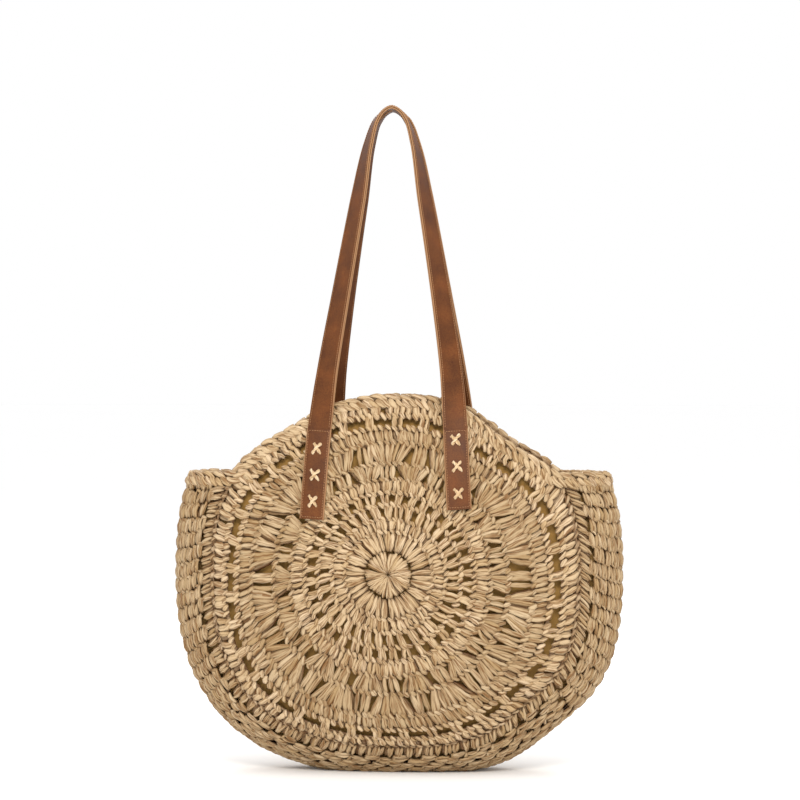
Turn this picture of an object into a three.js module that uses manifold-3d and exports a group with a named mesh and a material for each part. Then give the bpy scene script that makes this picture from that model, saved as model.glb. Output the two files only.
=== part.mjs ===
// A round crocheted straw tote with two flat leather handles, in millimetres, +Z up.
// The origin is the middle of the flat base; -Y is the front, and the handles stand straight up.
//
// The body is a soft pillow: every wall, lining and patch is a layer of one smooth surface, laid at a
// stated depth below it. Seen from the front the surface is a superellipse; cut from front to back it
// is an ellipse that is squarer at the base. The front and back discs end on a seam that runs round the
// surface, and a strip (the gusset) joins them at the sides and the base. Above the strip's ends the
// discs are free, and their edges with the strip's two ends are the mouth.
import * as THREE from "three";
import { mergeVertices } from "three/addons/utils/BufferGeometryUtils.js";
import Module from "manifold-3d";

const wasm = await Module();
wasm.setup();

// ---- Driving dimensions -------------------------------------------------------------------------
const gap = 0.35; // between any two pieces that lie against each other

// Body
const halfWidth = 223;
const halfHeight = 205;
const halfDepth = 80;
const outlineExponent = 2.5; // 2 is an ellipse, more is squarer
const baseSink = 6; // how far the round underside is pressed flat by what it stands on
const sideFullness = 2; // exponent of the section from front to back, at the sides and the top
const baseFullness = 2.5; // the same at the base, where the bag stands
const sideSeamShare = 0.816; // where the seam lies, as a share of the outline, level with the middle
const endSeamShare = 0.842; // the same, straight above and below the middle
const shoulderDip = 0.03; // by how much less between those, where the free edges sag
const gussetRise = 95; // from the body's middle up to the strip's two ends
const wallThickness = 5.5; // crocheted straw
const facetRoom = 0.8; // clearance where a piece lies on the hollow side of a faceted wall
const seamCordRadius = 2.3;
const edgingHalfHeight = 3.2;
const edgingOverhang = 0.45; // by how much the edging stands proud of the wall on each side

// Lining
const liningRoom = 0.9; // between the cloth and the threads behind it
const liningThickness = 1;
const liningSeam = 0.8; // from a lining seam to each cloth's edge
const hemHalfHeight = 5.5;
const hemHalfDepth = 2.1;
const hemDrop = 6.5; // from the mouth's line to the middle of the hem
const padRadius = 13; // round pads sewn into the lining under the snap
const padThickness = 2.4;

// Handles
const strapWidth = 24;
const leatherThickness = 1.4; // each of a strap's two layers
const handleShift = -7.5; // the handles are sewn a little left of the middle
const tabBelowRim = 31.6; // from the mouth's highest point down to where the strap leaves the bag
const tabLength = 83;
const tabSpacing = 67; // from the handles' middle to the top of a tab
const tabLean = THREE.MathUtils.degToRad(3.6); // the tabs lean towards each other
const apexGap = 1.5; // from the middle plane to a strap's edge, at the top
const archTurn = THREE.MathUtils.degToRad(7); // how far the top of the handles is turned about Z
const hingeGap = 0.6; // between a tab and the strap above it
// The handle's route on one side: height above the tab, half the spread, and the strap's twist in degrees.
const legStations = [
  { rise: 55, spread: 61.5, twist: 30 },
  { rise: 130, spread: 50, twist: 42 },
  { rise: 230, spread: 33, twist: 55 },
  { rise: 284, spread: 23, twist: 72 },
  { rise: 310, spread: 13.5, twist: 82 },
];
const apexRise = 320;

// Cross stitches
const crossCount = 3;
const crossFirst = 10.5; // from the tab's top to the first cross
const crossLast = 21.3; // from the last cross to the tab's end
const crossHalfWidth = 4.6;
const crossHalfHeight = 5.4;
const threadRadius = 1.25;
const threadHole = 4.2; // side of the square hole that a thread passes through

// Magnetic snap
const snapBelowRim = 33.6;
const snapRadius = 9;
const snapThickness = 2.6;
const snapStudRadius = 3.2;
const snapStudHeight = 1.6;
const washerThickness = 0.8;
const prongSpacing = 9;
const prongWidth = 3.4;
const prongThickness = 0.8;

// Zipped inner pocket, flat, on the back lining
const pocketWidth = 170;
const pocketHeight = 105;
const pocketBase = 118;
const pocketRoom = 1.6; // between the flat pocket's corners and the curved lining
const clothThickness = 0.8;
const tapeHeight = 12;
const tapeThickness = 0.7;
const coilHeight = 2.2; // each half of the teeth
const coilDepth = 2;
const coilSlit = 1.4; // between the two halves, where the slider's web runs
const coilEndMargin = 5;
const sliderLength = 11;
const sliderPlate = 1.1;
const sliderWeb = 0.7;
const sliderWallHeight = 10;
const bailHeight = 3.4;
const bailWidth = 1.8;
const bailLength = 7;
const pullLength = 26;
const pullWidth = 7;
const pullThickness = 1.4;
const pullEye = 3;
const sliderClearance = 0.4;

// ---- Mesh helpers -------------------------------------------------------------------------------

// Deforms a geometry: place(x, y, z) returns where that point goes.
function bend(geometry, place) {
  const position = geometry.attributes.position;
  for (let i = 0; i < position.count; i++) {
    const p = place(position.getX(i), position.getY(i), position.getZ(i));
    position.setXYZ(i, p.x, p.y, p.z);
  }
  return geometry;
}

// A geometry as a manifold-3d solid, turned the right way out if a bend reversed it.
function solidOf(geometry) {
  const bare = geometry.clone();
  bare.deleteAttribute("normal");
  bare.deleteAttribute("uv");
  const merged = mergeVertices(bare, 1e-3);
  const index = merged.index.array;
  const kept = [];
  for (let i = 0; i < index.length; i += 3) {
    const [a, b, c] = [index[i], index[i + 1], index[i + 2]];
    if (a !== b && b !== c && c !== a) kept.push(a, b, c);
  }
  const vertProperties = new Float32Array(merged.attributes.position.array);
  const build = (corners) =>
    new wasm.Manifold(new wasm.Mesh({ numProp: 3, vertProperties, triVerts: new Uint32Array(corners) }));
  const solid = build(kept);
  if (solid.volume() > 0) return solid;
  const turned = [];
  for (let i = 0; i < kept.length; i += 3) turned.push(kept[i], kept[i + 2], kept[i + 1]);
  return build(turned);
}

// A manifold-3d solid as a flat-shaded geometry.
function geometryOf(solid) {
  const mesh = solid.getMesh();
  const positions = new Float32Array(mesh.numVert * 3);
  for (let i = 0; i < mesh.numVert; i++) {
    positions.set(mesh.vertProperties.subarray(i * mesh.numProp, i * mesh.numProp + 3), i * 3);
  }
  const geometry = new THREE.BufferGeometry();
  geometry.setAttribute("position", new THREE.BufferAttribute(positions, 3));
  geometry.setIndex(new THREE.BufferAttribute(new Uint32Array(mesh.triVerts), 1));
  geometry.computeVertexNormals();
  return geometry;
}

// Cuts the tools away, and keeps the largest piece that is left: a ring cut round the mouth frees slivers.
function cut(solid, tools) {
  const left = tools.reduce((rest, tool) => rest.subtract(tool), solid);
  const pieces = left.decompose();
  return pieces.reduce((largest, piece) => (piece.volume() > largest.volume() ? piece : largest));
}

const join = (solids) => solids.reduce((all, next) => all.add(next));

// A box given by its lowest and highest corners.
function boxBetween(low, high) {
  const size = new THREE.Vector3().subVectors(high, low);
  const middle = new THREE.Vector3().addVectors(low, high).multiplyScalar(0.5);
  return solidOf(new THREE.BoxGeometry(size.x, size.y, size.z).translate(middle.x, middle.y, middle.z));
}

const vec = (x, y, z) => new THREE.Vector3(x, y, z);

// ---- Materials ----------------------------------------------------------------------------------
const straw = new THREE.MeshStandardMaterial({ color: 0xc9ad7c, roughness: 0.85, metalness: 0 });
const leather = new THREE.MeshStandardMaterial({ color: 0x84492a, roughness: 0.55, metalness: 0 });
const backing = new THREE.MeshStandardMaterial({ color: 0x6b3a20, roughness: 0.7, metalness: 0 });
const raffia = new THREE.MeshStandardMaterial({ color: 0xe2bd93, roughness: 0.75, metalness: 0 });
const cotton = new THREE.MeshStandardMaterial({ color: 0xb89b66, roughness: 0.9, metalness: 0 });
const brass = new THREE.MeshStandardMaterial({ color: 0xb08d4a, roughness: 0.35, metalness: 1 });
const nylon = new THREE.MeshStandardMaterial({ color: 0xa68a58, roughness: 0.6, metalness: 0 });

const bag = new THREE.Group();

function addPiece(name, solid, material) {
  const mesh = new THREE.Mesh(geometryOf(solid), material);
  mesh.name = name;
  bag.add(mesh);
}

// ---- The body's surface -------------------------------------------------------------------------
const middleHeight = halfHeight - baseSink;
const gussetTop = middleHeight + gussetRise;
const rimTop = middleHeight + halfHeight * endSeamShare;
const front = -1;
const back = 1;

// Distance from the middle to the outline, in the direction at that angle from +X.
function outlineRadius(angle) {
  const across = (Math.abs(Math.cos(angle)) / halfWidth) ** outlineExponent;
  const up = (Math.abs(Math.sin(angle)) / halfHeight) ** outlineExponent;
  return (across + up) ** (-1 / outlineExponent);
}

function fullness(angle) {
  const below = Math.max(0, -Math.sin(angle));
  return sideFullness + (baseFullness - sideFullness) * below * below;
}

function seamShare(angle) {
  const dip = Math.sin(angle) > 0 ? shoulderDip * Math.sin(2 * angle) ** 2 : 0;
  return sideSeamShare + (endSeamShare - sideSeamShare) * Math.sin(angle) ** 2 - dip;
}

// How far the surface stands from the middle plane at a share of the outline.
function depthAt(angle, share) {
  const power = fullness(angle);
  return halfDepth * (1 - Math.min(1, share) ** power) ** (1 / power);
}

// The outward normal, from the gradient of the surface's formula.
function normalAt(p, angle) {
  const dx = Math.abs(p.x) / halfWidth;
  const dz = Math.abs(p.z - middleHeight) / halfHeight;
  const share = (dx ** outlineExponent + dz ** outlineExponent) ** (1 / outlineExponent);
  const power = fullness(angle);
  const slope = share > 1e-6 ? share ** (power - outlineExponent) : 0;
  return vec(
    (slope * Math.sign(p.x) * dx ** (outlineExponent - 1)) / halfWidth,
    (Math.sign(p.y) * (Math.abs(p.y) / halfDepth) ** (power - 1)) / halfDepth,
    (slope * Math.sign(p.z - middleHeight) * dz ** (outlineExponent - 1)) / halfHeight,
  ).normalize();
}

// Moves a surface point in by depth, and keeps it on the flat base.
function sunk(p, angle, depth) {
  const inner = p.clone().addScaledVector(normalAt(p, angle), -depth);
  inner.z = Math.max(inner.z, depth);
  return inner;
}

// A point of a disc, by direction, share of the outline and side.
function discPoint(angle, share, side, depth) {
  const radius = outlineRadius(angle) * share;
  const y = side * depthAt(angle, share);
  const p = vec(Math.cos(angle) * radius, y, middleHeight + Math.sin(angle) * radius);
  return sunk(p, angle, depth);
}

// A point of the strip: across runs from 0 at the front seam to 1 at the back seam, and inset is how far
// each edge is drawn in from its seam, in millimetres.
function stripPoint(angle, across, depth, inset = 0) {
  const power = fullness(angle);
  const section = (turn) => ({
    radius: outlineRadius(angle) * Math.sin(turn) ** (2 / power),
    y: -Math.sign(Math.cos(turn)) * halfDepth * Math.abs(Math.cos(turn)) ** (2 / power),
  });
  const seamTurn = Math.asin(seamShare(angle) ** (power / 2));
  const step = 0.01;
  const [here, next] = [section(seamTurn), section(seamTurn + step)];
  const start = seamTurn + (inset * step) / Math.hypot(next.radius - here.radius, next.y - here.y);
  const { radius, y } = section(start + across * (Math.PI - 2 * start));
  const p = vec(Math.cos(angle) * radius, y, middleHeight + Math.sin(angle) * radius);
  return sunk(p, angle, depth);
}

// The angle at which the strip ends, on the +X side, for a place across it.
function stripEnd(across) {
  let low = 0;
  let high = Math.PI / 2;
  for (let i = 0; i < 40; i++) {
    const angle = (low + high) / 2;
    if (stripPoint(angle, across, 0).z < gussetTop) low = angle;
    else high = angle;
  }
  return low;
}

// A point of a disc by its place seen from the front, and the surface's own directions there.
function facePoint(side, x, z, depth) {
  const angle = Math.atan2(z - middleHeight, x);
  const share = Math.hypot(x, z - middleHeight) / outlineRadius(angle);
  const p = discPoint(angle, share, side, 0);
  return p.addScaledVector(normalAt(p, angle), -depth);
}

// ---- Crocheted body and lining ------------------------------------------------------------------
const patchOuter = wallThickness + facetRoom;
const patchInner = patchOuter + leatherThickness;
const liningDepth = patchInner + 2 * (gap + threadRadius) + liningRoom; // from the surface to the cloth
const liningBack = liningDepth + liningThickness;

// A disc of the surface between two depths, ending edgeInset short of the seam.
function discLayer(side, outer, inner, edgeInset, rings, sectors) {
  const outline = [];
  for (let i = 0; i <= rings; i++) outline.push(new THREE.Vector2(i / rings, 0));
  for (let i = rings; i >= 0; i--) outline.push(new THREE.Vector2(i / rings, 1));
  return solidOf(
    bend(new THREE.LatheGeometry(outline, sectors), (x, y, z) => {
      const angle = Math.atan2(z, x);
      const seam = seamShare(angle);
      const drop = depthAt(angle, seam - 0.01) - depthAt(angle, seam);
      const edge = seam - edgeInset / Math.hypot(outlineRadius(angle), drop / 0.01);
      return discPoint(angle, Math.hypot(x, z) * edge, side, y > 0.5 ? inner : outer);
    }),
  );
}

// The strip between two depths. Its ends are level, at gussetTop.
function stripLayer(outer, inner, edgeInset, along, acrossCount) {
  const ends = new Map();
  return solidOf(
    bend(new THREE.BoxGeometry(1, 1, 1, along, 1, acrossCount), (x, y, z) => {
      const across = z + 0.5;
      if (!ends.has(across)) ends.set(across, stripEnd(across));
      const end = ends.get(across);
      const angle = end + (x + 0.5) * (-Math.PI - 2 * end);
      return stripPoint(angle, across, y > 0 ? outer : inner, edgeInset);
    }),
  );
}

// The mouth's closed line, with the surface's normal at each of its points.
function mouthLine() {
  const points = [];
  const normals = [];
  const add = (p, angle) => {
    points.push(p);
    normals.push(normalAt(p, angle));
  };
  const arcCount = 28;
  const endCount = 9;
  const corner = stripEnd(0);
  const sweep = (from, to, i, count) => from + ((to - from) * i) / count;
  for (let i = 0; i < arcCount; i++) {
    const angle = sweep(corner, Math.PI - corner, i, arcCount);
    add(discPoint(angle, seamShare(angle), front, 0), angle);
  }
  for (let i = 0; i < endCount; i++) {
    const across = i / endCount;
    const angle = Math.PI - stripEnd(across);
    add(stripPoint(angle, across, 0), angle);
  }
  for (let i = 0; i < arcCount; i++) {
    const angle = sweep(Math.PI - corner, corner, i, arcCount);
    add(discPoint(angle, seamShare(angle), back, 0), angle);
  }
  for (let i = 0; i < endCount; i++) {
    const across = 1 - i / endCount;
    const angle = stripEnd(across);
    add(stripPoint(angle, across, 0), angle);
  }
  return {
    line: new THREE.CatmullRomCurve3(points, true, "centripetal"),
    normals: new THREE.CatmullRomCurve3(normals, true, "centripetal"),
  };
}

const mouth = mouthLine();

// A ring round the mouth: a torus whose section lies square to the wall.
function mouthRing(depth, drop, halfTall, halfDeep, sections, sides) {
  return solidOf(
    bend(new THREE.TorusGeometry(2, 1, sides, sections), (x, y, z) => {
      const along = (Math.atan2(y, x) / (2 * Math.PI) + 1) % 1;
      const turn = Math.atan2(z, Math.hypot(x, y) - 2);
      const normal = mouth.normals.getPoint(along).normalize();
      const up = normal.clone().cross(mouth.line.getTangent(along)).normalize();
      if (up.z < 0) up.negate();
      return mouth.line
        .getPoint(along)
        .addScaledVector(normal, halfDeep * Math.cos(turn) - depth)
        .addScaledVector(up, halfTall * Math.sin(turn) - drop);
    }),
  );
}

// The cord of slip stitches that joins a disc to the strip.
function seamCord(side) {
  const end = stripEnd(0);
  const pointCount = 40;
  const points = [];
  for (let i = 0; i <= pointCount; i++) {
    const angle = end + (i / pointCount) * (-Math.PI - 2 * end);
    points.push(discPoint(angle, seamShare(angle), side, wallThickness / 2));
  }
  const section = new THREE.Shape().absarc(0, 0, seamCordRadius, 0, 2 * Math.PI);
  const geometry = new THREE.ExtrudeGeometry(section, {
    steps: 44,
    curveSegments: 3,
    extrudePath: new THREE.CatmullRomCurve3(points),
  });
  return solidOf(geometry);
}

// ---- Tabs, patches and cross stitches -----------------------------------------------------------
const tabTop = rimTop - tabBelowRim;
const tabOuter = -(gap + leatherThickness);

// A point on a tab: across and down are measured from the middle of the tab's top edge.
function tabPoint(side, hand, across, down, depth) {
  const lean = hand * tabLean;
  const x = handleShift + hand * tabSpacing + across * Math.cos(lean) + down * Math.sin(lean);
  const z = tabTop - down * Math.cos(lean) + across * Math.sin(lean);
  return facePoint(side, x, z, depth);
}

// A strip of leather that follows the wall, between two depths.
function tabLayer(side, hand, outer, inner) {
  return solidOf(
    bend(new THREE.BoxGeometry(strapWidth, 1, tabLength, 2, 1, 6), (x, y, z) =>
      tabPoint(side, hand, x, z + tabLength / 2, y > 0 ? outer : inner),
    ),
  );
}

const crossPitch = (tabLength - crossFirst - crossLast) / (crossCount - 1);
const crossCorners = [];
for (let i = 0; i < crossCount; i++) {
  const down = crossFirst + i * crossPitch;
  for (const across of [-crossHalfWidth, crossHalfWidth]) {
    crossCorners.push([across, down - crossHalfHeight], [across, down + crossHalfHeight]);
  }
}

// Square holes through the leather where the thread passes, or taller slots, one for both stitches on
// the same side of a cross, where it passes between stitches of straw.
function threadHoles(side, hand, tall) {
  const length = 4 * liningDepth;
  const places = tall ? crossCorners.filter((_, i) => i % 2 === 0) : crossCorners;
  const shift = tall ? crossHalfHeight : 0;
  return places.map(([across, down]) => {
    const p = tabPoint(side, hand, across, down + shift, 0);
    const inward = tabPoint(side, hand, across, down + shift, 1).sub(p);
    const geometry = new THREE.BoxGeometry(threadHole, threadHole + 2 * shift, length);
    const matrix = new THREE.Matrix4().lookAt(vec(0, 0, 0), inward, vec(0, 0, 1)).setPosition(p);
    return solidOf(geometry.applyMatrix4(matrix));
  });
}

// One thread sews all three crosses of a tab: over, through, up inside, over again, then on to the next.
function crossThread(side, hand) {
  const outside = tabOuter - gap - threadRadius;
  const inside = patchInner + 2 * gap + threadRadius;
  const lift = 0.3; // how far the first arm of a cross is bowed
  const over = lift + 2 * threadRadius + 0.3; // the second arm passes over the first
  const corners = [];
  for (let i = 0; i < crossCount; i++) {
    const down = crossFirst + i * crossPitch;
    const at = (across, below, depth) =>
      corners.push(tabPoint(side, hand, across * crossHalfWidth, down + below * crossHalfHeight, depth));
    at(-1, -1, inside);
    at(-1, -1, outside);
    at(0, 0, outside - lift);
    at(1, 1, outside);
    at(1, 1, inside);
    at(1, -1, inside);
    at(1, -1, outside);
    at(0, 0, outside - over);
    at(-1, 1, outside);
    at(-1, 1, inside);
  }
  const shorten = 0.12; // how much of each straight run a corner's curve takes
  const route = [corners[0]];
  for (let i = 1; i < corners.length - 1; i++) {
    const towards = (other) => corners[i].clone().lerp(other, shorten);
    route.push(towards(corners[i - 1]), towards(corners[i + 1]));
  }
  route.push(corners[corners.length - 1]);
  const section = new THREE.Shape().absarc(0, 0, threadRadius, 0, 2 * Math.PI);
  return solidOf(
    new THREE.ExtrudeGeometry(section, {
      steps: 58,
      curveSegments: 2,
      extrudePath: new THREE.CatmullRomCurve3(route, false, "catmullrom", 0.1),
    }),
  );
}

// ---- Handles ------------------------------------------------------------------------------------
const strapThickness = 2 * leatherThickness + gap;
const apexDepth = apexGap + strapWidth / 2;

// The strap's middle line, from the left tab over the top to the right tab, and its normal on the way.
function handleRoute(side) {
  const strapDepth = -(gap + 0.15 + strapThickness / 2);
  const foot = (hand) => tabPoint(side, hand, 0, -hingeGap, strapDepth);
  const apex = vec(handleShift, side * apexDepth, tabTop + apexRise);
  const station = ({ rise, spread, twist }, hand) => {
    const share = rise / apexRise;
    const footPoint = foot(hand);
    const turn = new THREE.Matrix4().makeRotationZ(archTurn * share);
    const twistAngle = THREE.MathUtils.degToRad(twist);
    const flat = THREE.MathUtils.lerp(footPoint.y, apex.y, share);
    const p = vec(hand * spread, flat - apex.y * share, 0).applyMatrix4(turn);
    const normal = vec(hand * Math.sin(twistAngle), side * Math.cos(twistAngle), 0).applyMatrix4(turn);
    return { point: vec(handleShift + p.x, p.y + apex.y * share, tabTop + rise), normal };
  };
  const foothold = (hand) => {
    const outward = tabPoint(side, hand, 0, 0, 0).sub(tabPoint(side, hand, 0, 0, 1));
    return { point: foot(hand), normal: outward };
  };
  const left = legStations.map((s) => station(s, -1));
  const right = legStations.map((s) => station(s, 1)).reverse();
  const all = [foothold(-1), ...left, { point: apex, normal: vec(0, 0, 1) }, ...right, foothold(1)];
  return {
    line: new THREE.CatmullRomCurve3(all.map((s) => s.point)),
    normals: new THREE.CatmullRomCurve3(all.map((s) => s.normal)),
  };
}

// One layer of a strap, between two heights above its middle line. The facets of a twisted strip lean
// one way on its one face and the other way on its other: a flipped layer fits the face it lies on.
function strapLayer(route, low, high, flip) {
  const segments = 44;
  return solidOf(
    bend(new THREE.BoxGeometry(strapWidth, 1, 1, 1, 1, segments), (x, y, z) => {
      const share = THREE.MathUtils.clamp(z + 0.5, 0, 1);
      const tangent = route.line.getTangent(share);
      const guide = route.normals.getPoint(share);
      const normal = guide.addScaledVector(tangent, -guide.dot(tangent)).normalize();
      const width = tangent.clone().cross(normal);
      return route.line
        .getPoint(share)
        .addScaledVector(width, flip * x)
        .addScaledVector(normal, y > 0 ? high : low);
    }),
  );
}

// ---- Magnetic snap ------------------------------------------------------------------------------
const snapHeight = rimTop - snapBelowRim;

// A round plate on the lining, with its two prongs, as one solid in place. The snap's own axis is its
// z, pointing into the bag, and its zero is the lining's inner face.
function snapFrame(side) {
  const seat = facePoint(side, 0, snapHeight, liningBack + facetRoom + gap);
  const inward = seat.clone().sub(facePoint(side, 0, snapHeight, 0)).normalize();
  const across = vec(1, 0, 0);
  const up = inward.clone().cross(across).normalize();
  return new THREE.Matrix4().makeBasis(across, up, inward).setPosition(seat);
}

function disc(radius, low, high, sides) {
  const drum = new THREE.CylinderGeometry(radius, radius, high - low, sides).rotateX(Math.PI / 2);
  return solidOf(drum.translate(0, 0, (low + high) / 2));
}

const placed = (solid, matrix) => solidOf(geometryOf(solid).applyMatrix4(matrix));

// The prongs' slots, or with no margin the prongs themselves, from one depth to another.
function prongs(low, high, margin) {
  return [-1, 1].map((hand) => {
    const x = (hand * prongSpacing) / 2;
    const half = prongThickness / 2 + margin;
    const wide = prongWidth / 2 + margin;
    return boxBetween(vec(x - half, -wide, low), vec(x + half, wide, high));
  });
}

const washerFront = -(padThickness + 2 * gap);
const washerBack = washerFront - washerThickness;
const prongEnd = washerBack - 1.2;

function snapHalf(isStud) {
  const body = disc(snapRadius, 0, snapThickness, 16);
  const bottom = 1; // of the socket's recess
  const shaped = isStud
    ? body.add(disc(snapStudRadius, snapThickness - 0.2, snapThickness + snapStudHeight, 12))
    : body.subtract(disc(snapStudRadius + 0.4, bottom, snapThickness + 1, 12));
  return join([shaped, ...prongs(prongEnd, 0.4, 0)]);
}

function snapWasher() {
  return cut(disc(snapRadius, washerBack, washerFront, 16), prongs(prongEnd - 1, 1, gap));
}

// ---- Zipped pocket ------------------------------------------------------------------------------
const pocketTop = pocketBase + pocketHeight;
const clothHalf = clothThickness / 2;
const zipHeight = pocketTop + gap + tapeHeight + coilSlit / 2 + coilHeight + gap; // the slit's middle

// The pocket's plane, behind the middle plane: the lining is nearest to it at the pocket's corners.
const zipTop = zipHeight + coilSlit / 2 + coilHeight + gap + tapeHeight;
const cornerDepths = [pocketBase, zipTop].map((z) => facePoint(back, pocketWidth / 2, z, liningBack).y);
const pocketPlane = Math.min(...cornerDepths) - clothHalf - pocketRoom;

const flatStrip = (width, low, high, yLow, yHigh) =>
  boxBetween(vec(-width / 2, yLow, low), vec(width / 2, yHigh, high));

// One half of the zip's teeth: a thin row, lifted off its tape by the gap.
function coilHalf(hand) {
  const near = zipHeight + (hand * coilSlit) / 2;
  const far = near + hand * coilHeight;
  const width = pocketWidth - 2 * coilEndMargin;
  const half = coilDepth / 2;
  return flatStrip(width, Math.min(near, far), Math.max(near, far), pocketPlane - half, pocketPlane + half);
}

function tape(hand) {
  const near = zipHeight + hand * (coilSlit / 2 + coilHeight + gap);
  const far = near + hand * tapeHeight;
  const half = tapeThickness / 2;
  return flatStrip(pocketWidth, Math.min(near, far), Math.max(near, far), pocketPlane - half, pocketPlane + half);
}

const sliderMiddle = pocketWidth / 2 - coilEndMargin - sliderLength; // where the slider rests, zip closed
const plateFront = pocketPlane - coilDepth / 2 - sliderClearance; // inner face of the slider's front plate

// Two plates joined by a web that runs in the slit, and a bail on the front plate.
function slider() {
  const left = sliderMiddle - sliderLength / 2;
  const right = sliderMiddle + sliderLength / 2;
  const low = zipHeight - sliderWallHeight / 2;
  const high = zipHeight + sliderWallHeight / 2;
  const backFace = pocketPlane + coilDepth / 2 + sliderClearance;
  const frontPlate = boxBetween(vec(left, plateFront - sliderPlate, low), vec(right, plateFront, high));
  const backPlate = boxBetween(vec(left, backFace, low), vec(right, backFace + sliderPlate, high));
  const web = boxBetween(
    vec(left, plateFront - 0.2, zipHeight - sliderWeb / 2),
    vec(right, backFace + 0.2, zipHeight + sliderWeb / 2),
  );
  const bailFace = plateFront - sliderPlate;
  const bail = boxBetween(
    vec(sliderMiddle - bailLength / 2, bailFace - bailHeight, zipHeight - bailWidth / 2),
    vec(sliderMiddle + bailLength / 2, bailFace + 0.2, zipHeight + bailWidth / 2),
  );
  const eye = boxBetween(
    vec(sliderMiddle - bailLength / 2 + 1.2, bailFace - bailHeight + 1, zipHeight - bailWidth),
    vec(sliderMiddle + bailLength / 2 - 1.2, bailFace - 0.01, zipHeight + bailWidth),
  );
  return join([frontPlate, backPlate, web, bail]).subtract(eye);
}

// The pull hangs in the bail by a slim bar, and lies along the zip towards its open end.
function pull() {
  const pivot = vec(sliderMiddle, plateFront - sliderPlate - bailHeight / 2 + 0.5, zipHeight);
  const barHalf = 0.5;
  const wide = pullWidth / 2;
  const nearEnd = pivot.x - bailLength / 2 - 1;
  const plate = boxBetween(
    vec(pivot.x - pullLength, pivot.y - pullThickness / 2, zipHeight - wide),
    vec(pivot.x + barHalf, pivot.y + pullThickness / 2, zipHeight + wide),
  );
  const window = boxBetween(
    vec(nearEnd, pivot.y - 2, zipHeight - pullEye / 2),
    vec(pivot.x - barHalf, pivot.y + 2, zipHeight + pullEye / 2),
  );
  const thinning = [-1, 1].map((hand) =>
    boxBetween(
      vec(pivot.x - barHalf - 1.3, hand < 0 ? pivot.y - 2 : pivot.y + barHalf, zipHeight - wide - 1),
      vec(pivot.x + 2, hand < 0 ? pivot.y - barHalf : pivot.y + 2, zipHeight + wide + 1),
    ),
  );
  return cut(plate, [window, ...thinning]);
}

// ---- Assembly -----------------------------------------------------------------------------------
const sides = [
  ["front", front],
  ["back", back],
];
const hands = [
  ["left", -1],
  ["right", 1],
];

const edgingHalfDepth = wallThickness / 2 + edgingOverhang;
const edging = mouthRing(wallThickness / 2, 0, edgingHalfHeight, edgingHalfDepth, 52, 6);
const edgingRoom = mouthRing(wallThickness / 2, 0, edgingHalfHeight + gap + 0.1, edgingHalfDepth + gap, 52, 6);
const hemDepth = wallThickness + gap + 2 * facetRoom + hemHalfDepth;
const hem = mouthRing(hemDepth, hemDrop, hemHalfHeight, hemHalfDepth, 48, 4);
const hemRoom = mouthRing(hemDepth, hemDrop - 4, hemHalfHeight + 4 + gap + 0.3, hemHalfDepth + 6, 48, 4);
const seamInset = seamCordRadius + 2 * gap;

for (const [sideName, side] of sides) {
  const holes = hands.flatMap(([, hand]) => threadHoles(side, hand, true));
  const panel = discLayer(side, 0, wallThickness, seamInset, 8, 36);
  addPiece(`${sideName}_panel`, cut(panel, [edgingRoom, ...holes]), straw);
  addPiece(`${sideName}_seam`, cut(seamCord(side), [edgingRoom]), straw);
  const slots = placed(join(prongs(prongEnd - 1, 1, gap)), snapFrame(side));
  const pad = placed(disc(padRadius, -gap - padThickness, -gap, 16), snapFrame(side));
  const cloth = discLayer(side, liningDepth, liningBack, liningSeam, 5, 24);
  addPiece(`lining_${sideName}`, cut(cloth.add(pad), [hemRoom, slots]), cotton);
}
addPiece("gusset", cut(stripLayer(0, wallThickness, seamInset, 32, 7), [edgingRoom]), straw);
addPiece("lining_gusset", cut(stripLayer(liningDepth, liningBack, liningSeam, 24, 5), [hemRoom]), cotton);
addPiece("mouth_edging", edging, straw);
addPiece("lining_hem", hem, cotton);

for (const [sideName, side] of sides) {
  for (const [handName, hand] of hands) {
    const name = `${sideName}_${handName}`;
    const tab = tabLayer(side, hand, tabOuter, -gap);
    const patch = tabLayer(side, hand, patchOuter, patchInner);
    addPiece(`${name}_tab`, cut(tab, threadHoles(side, hand, false)), leather);
    addPiece(`${name}_patch`, cut(patch, threadHoles(side, hand, true)), backing);
    addPiece(`${name}_cross_thread`, crossThread(side, hand), raffia);
  }
  const route = handleRoute(side);
  addPiece(`${sideName}_handle_strap`, strapLayer(route, gap / 2, strapThickness / 2, 1), leather);
  addPiece(`${sideName}_handle_backing`, strapLayer(route, -strapThickness / 2, -gap / 2, -1), backing);
}

addPiece("snap_stud", placed(snapHalf(true), snapFrame(front)), brass);
addPiece("snap_stud_washer", placed(snapWasher(), snapFrame(front)), brass);
addPiece("snap_socket", placed(snapHalf(false), snapFrame(back)), brass);
addPiece("snap_socket_washer", placed(snapWasher(), snapFrame(back)), brass);

addPiece(
  "pocket_panel",
  flatStrip(pocketWidth, pocketBase, pocketTop, pocketPlane - clothHalf, pocketPlane + clothHalf),
  cotton,
);
addPiece("zip_tape_lower", tape(-1), nylon);
addPiece("zip_tape_upper", tape(1), nylon);
addPiece("zip_teeth_lower", coilHalf(-1), nylon);
addPiece("zip_teeth_upper", coilHalf(1), nylon);
addPiece("zip_slider", slider(), brass);
addPiece("zip_pull", pull(), brass);

export default bag;
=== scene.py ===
"""Looks of a round crocheted straw tote with leather handles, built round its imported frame.

The crochet is laid out flat first, in millimetres, as it would be worked on a table: along, across and
height. A wrap then lays each flat pattern on the bag: a disc, the strip that joins the discs, the mouth,
a handle or a tab. Every wall, lining and tab is a layer of one smooth surface, the bag's.
"""

import logging
import math
from dataclasses import dataclass, field
from enum import Enum
from typing import Callable, Protocol

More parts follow.
